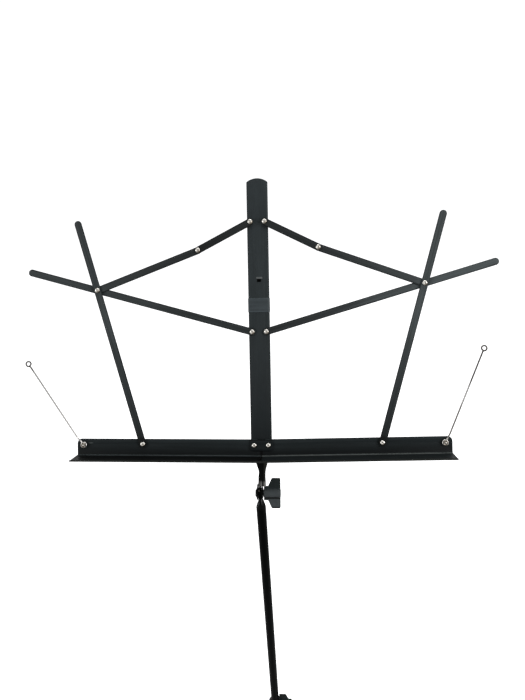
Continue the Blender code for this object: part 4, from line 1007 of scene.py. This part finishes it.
def make_strip(node, pivot, toward, holes):
    """A strip from its pivot towards a point, with its painted light and shade at millimetres
    along it.
    """
    low, high = desk_box(node)
    start = on_desk @ pivot
    ahead = on_desk @ toward - start
    place = (desk @ Matrix.Translation((start.x, start.y, 0))
             @ Matrix.Rotation(atan2(ahead.y, ahead.x), 4, "Z"))
    end = max(spot.x for spot in spots_of(node, place.inverted())) - strip_half
    outline = arc(0, 0, strip_half, 90, 270, 20) + arc(end, 0, strip_half, -90, 90, 20)
    work = plate(outline, low.z, high.z, strip_ease, place,
                 holes=[(x, 0, strip_hole) for x in holes])
    tones = [(x * MM, tuple(tint * grey for tint in strip_tint)) for x, grey in strip_light_and_shade[node]]
    # The strip's lacquer has a painted shade line along both its long edges.
    finish = lacquer(node + "_lacquer", tones, place, 0.8, 0.45, 0.1, edge=(strip_half, 0.25))
    fitted(node, work, finish, node)


for word in ("left", "right"):
    star = pin(f"{word}_outer")
    knee_low, knee_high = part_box(f"knee_rivet_front_{word}")
    knee = (knee_low + knee_high) / 2
    for arm, arm_pin in (("vertical_arm", pin(f"{word}_vertical")),
                         ("lower_arm", pin(f"{word}_lower"))):
        make_strip(f"{arm}_{word}", arm_pin, star, (0, (star - arm_pin).length))
    make_strip(f"inner_link_{word}", pin(f"{word}_inner"), knee, (0,))
    make_strip(f"outer_link_{word}", star, knee, (0,))

# ----------------------------------------------------- page wires and eyelets
# Nickel wires that hold the pages: each is coiled round the post of an eyelet set
# in the ledge, steps out in a crank, and ends in a ring that laps over its arm.
wire_round = 0.95 * MM
coil_round = 3.0 * MM
coil_turns = 1.25
coil_pitch = 2.1 * MM
crank_long = 9.0 * MM
crank_rise = 2.9 * MM
loop_bend = radians(68)
ring_round = 3.1 * MM
ring_sweep = radians(335)
ring_lap = 1.95 * MM
coil_steps = 50
bend_steps = 10
crank_steps = 16
ring_steps = 40
lap_steps = 8
cap_round = 2.9 * MM
cap_high = 0.8 * MM
cap_rim = 0.3 * MM
cap_undercut = 0.05 * MM
cap_top = ((0, 0), (0.5, 0.03), (0.95, 0.22), (1.25, 0.45), (1.7, 0.48), (2.0, 0.25),
           (2.35, 0.15), (2.7, 0.25))
post_round = 1.75 * MM
post_above_tail = 1.5 * MM
shade_reach = 4.0 * MM


def wire_path(level, reach):
    """A wire's middle line, coiled round the origin, with its ring's centre at reach on X."""
    leave = loop_bend - pi / 2
    path = []
    for k in range(coil_steps + 1):
        back = 2 * pi * coil_turns * (k / coil_steps - 1)
        path.append((coil_round * cos(leave + back), coil_round * sin(leave + back),
                     level + coil_pitch * back / (2 * pi)))
    bend = -coil_round * sin(leave) / (1 - cos(loop_bend))
    straight = coil_round * cos(leave) + bend * sin(loop_bend)
    for k in range(1, bend_steps + 1):
        left = loop_bend * (1 - k / bend_steps)
        path.append((straight - bend * sin(left), -bend * (1 - cos(left)), level))
    for k in range(1, crank_steps + 1):
        share = k / crank_steps
        path.append((straight + crank_long * share, 0, level + crank_rise * eased(share)))
    level += crank_rise
    bend = ring_round * cos(loop_bend) / (1 - cos(loop_bend))
    straight = reach - (ring_round + bend) * sin(loop_bend)
    for k in range(bend_steps):
        left = loop_bend * k / bend_steps
        path.append((straight + bend * sin(left), -bend * (1 - cos(left)), level))
    for k in range(ring_steps + 1):
        angle = -pi / 2 - loop_bend + ring_sweep * k / ring_steps
        lap = max(0.0, (k - ring_steps + lap_steps) / lap_steps)
        path.append((reach + ring_round * cos(angle), ring_round * sin(angle),
                     level + ring_lap * eased(lap)))
    return path


def drawn_wire(path):
    """A round wire along a path, with closed ends."""
    curve = bpy.data.curves.new("wire_path", "CURVE")
    curve.dimensions = "3D"
    curve.bevel_depth = wire_round
    curve.bevel_resolution = 5
    curve.use_fill_caps = True
    spline = curve.splines.new("POLY")
    spline.points.add(len(path) - 1)
    for dot, point in zip(spline.points, path):
        dot.co = (*point, 1)
    guide = bpy.data.objects.new("wire_path", curve)
    room.objects.link(guide)
    bpy.context.view_layer.update()
    bent = guide.evaluated_get(bpy.context.evaluated_depsgraph_get())
    drawn = bpy.data.meshes.new_from_object(bent)
    bpy.data.objects.remove(guide)
    work = bmesh.new()
    work.from_mesh(drawn)
    bpy.data.meshes.remove(drawn)
    bmesh.ops.remove_doubles(work, verts=work.verts, dist=0.001 * MM)
    bmesh.ops.recalc_face_normals(work, faces=work.faces)
    return work


def make_page_wire(word, side, tones):
    """A page wire as the solid lies, with painted light and shade from its coil to its ring."""
    node = f"page_wire_{word}"
    post = on_desk @ pin(f"{word}_wire")
    place = desk @ Matrix.Translation((post.x, post.y, 0))
    level = desk_box(node)[0].z + wire_round + coil_pitch * coil_turns
    far = max(spots_of(node, on_desk),
              key=lambda spot: (spot.x - post.x) ** 2 + (spot.y - post.y) ** 2)
    turn = atan2(far.y - post.y, side * (far.x - post.x))
    reach = sqrt((far.x - post.x) ** 2 + (far.y - post.y) ** 2) - ring_round - wire_round
    work = drawn_wire([(side * (x * cos(turn) - y * sin(turn)), x * sin(turn) + y * cos(turn), z)
                       for x, y, z in wire_path(level, reach)])
    work.transform(place)
    finish, tree, colour = nickel(node + "_nickel", 0.35)
    line = running(place.translation, desk @ Vector((far.x, far.y, 0)), face)
    tree.links.new(tone_ramp(tree, line, tones), colour)
    fitted(node, work, finish, node, crease=60)


# Painted shade darkens the groove round the middle of each cap, and its outer rim.
eyelet_finish, eyelet_tree, eyelet_colour = nickel("eyelet_nickel", 0.25)
eyelet_painted_shade = ((0.20, (0.40, 0.39, 0.36)), (0.31, (0.035, 0.030, 0.024)),
                 (0.46, (0.035, 0.030, 0.024)), (0.56, (0.22, 0.20, 0.17)),
                 (0.72, (0.10, 0.09, 0.07)))
eyelet_tree.links.new(shades_at(eyelet_tree, head_spot(eyelet_tree)["Z"], eyelet_painted_shade),
                      eyelet_colour)


def make_eyelet(word):
    """The eyelet that a page wire turns on: a cap, a post and a tail."""
    node = f"wire_eyelet_{word}"
    post = on_desk @ pin(f"{word}_wire")
    low, high = desk_box(node)
    cap = high.z - cap_high
    post_foot = low.z + tail_high + post_above_tail
    points = [(radius * MM, high.z - drop * MM) for radius, drop in cap_top]
    points += [(cap_round, cap + cap_rim), (cap_round - cap_undercut, cap), (post_round, cap),
               (post_round, post_foot), (shank_round, post_foot)]
    work = turned(points + tail_from(low.z), 40)
    keep_spots(work, shade_reach)
    work.transform(desk @ Matrix.Translation((post.x, post.y, 0)))
    fitted(node, work, eyelet_finish, f"ledge_{word}")


# Painted reflection and shade along each wire: light near the coil, dark at the ring, and on the
# right wire a dark stretch from 13 to 48 mm.
for word, side, wire_light_and_shade in (
        ("left", -1, [(10 * MM, (0.42, 0.41, 0.40)), (110 * MM, (0.27, 0.27, 0.26)),
                      (113 * MM, (0.04, 0.04, 0.04))]),
        ("right", 1, [(8 * MM, (0.42, 0.41, 0.39)), (13 * MM, (0.06, 0.057, 0.052)),
                      (48 * MM, (0.06, 0.057, 0.052)), (54 * MM, (0.22, 0.22, 0.215)),
                      (73 * MM, (0.22, 0.22, 0.215)), (80 * MM, (0.01, 0.01, 0.01))])):
    make_page_wire(word, side, wire_light_and_shade)
    make_eyelet(word)
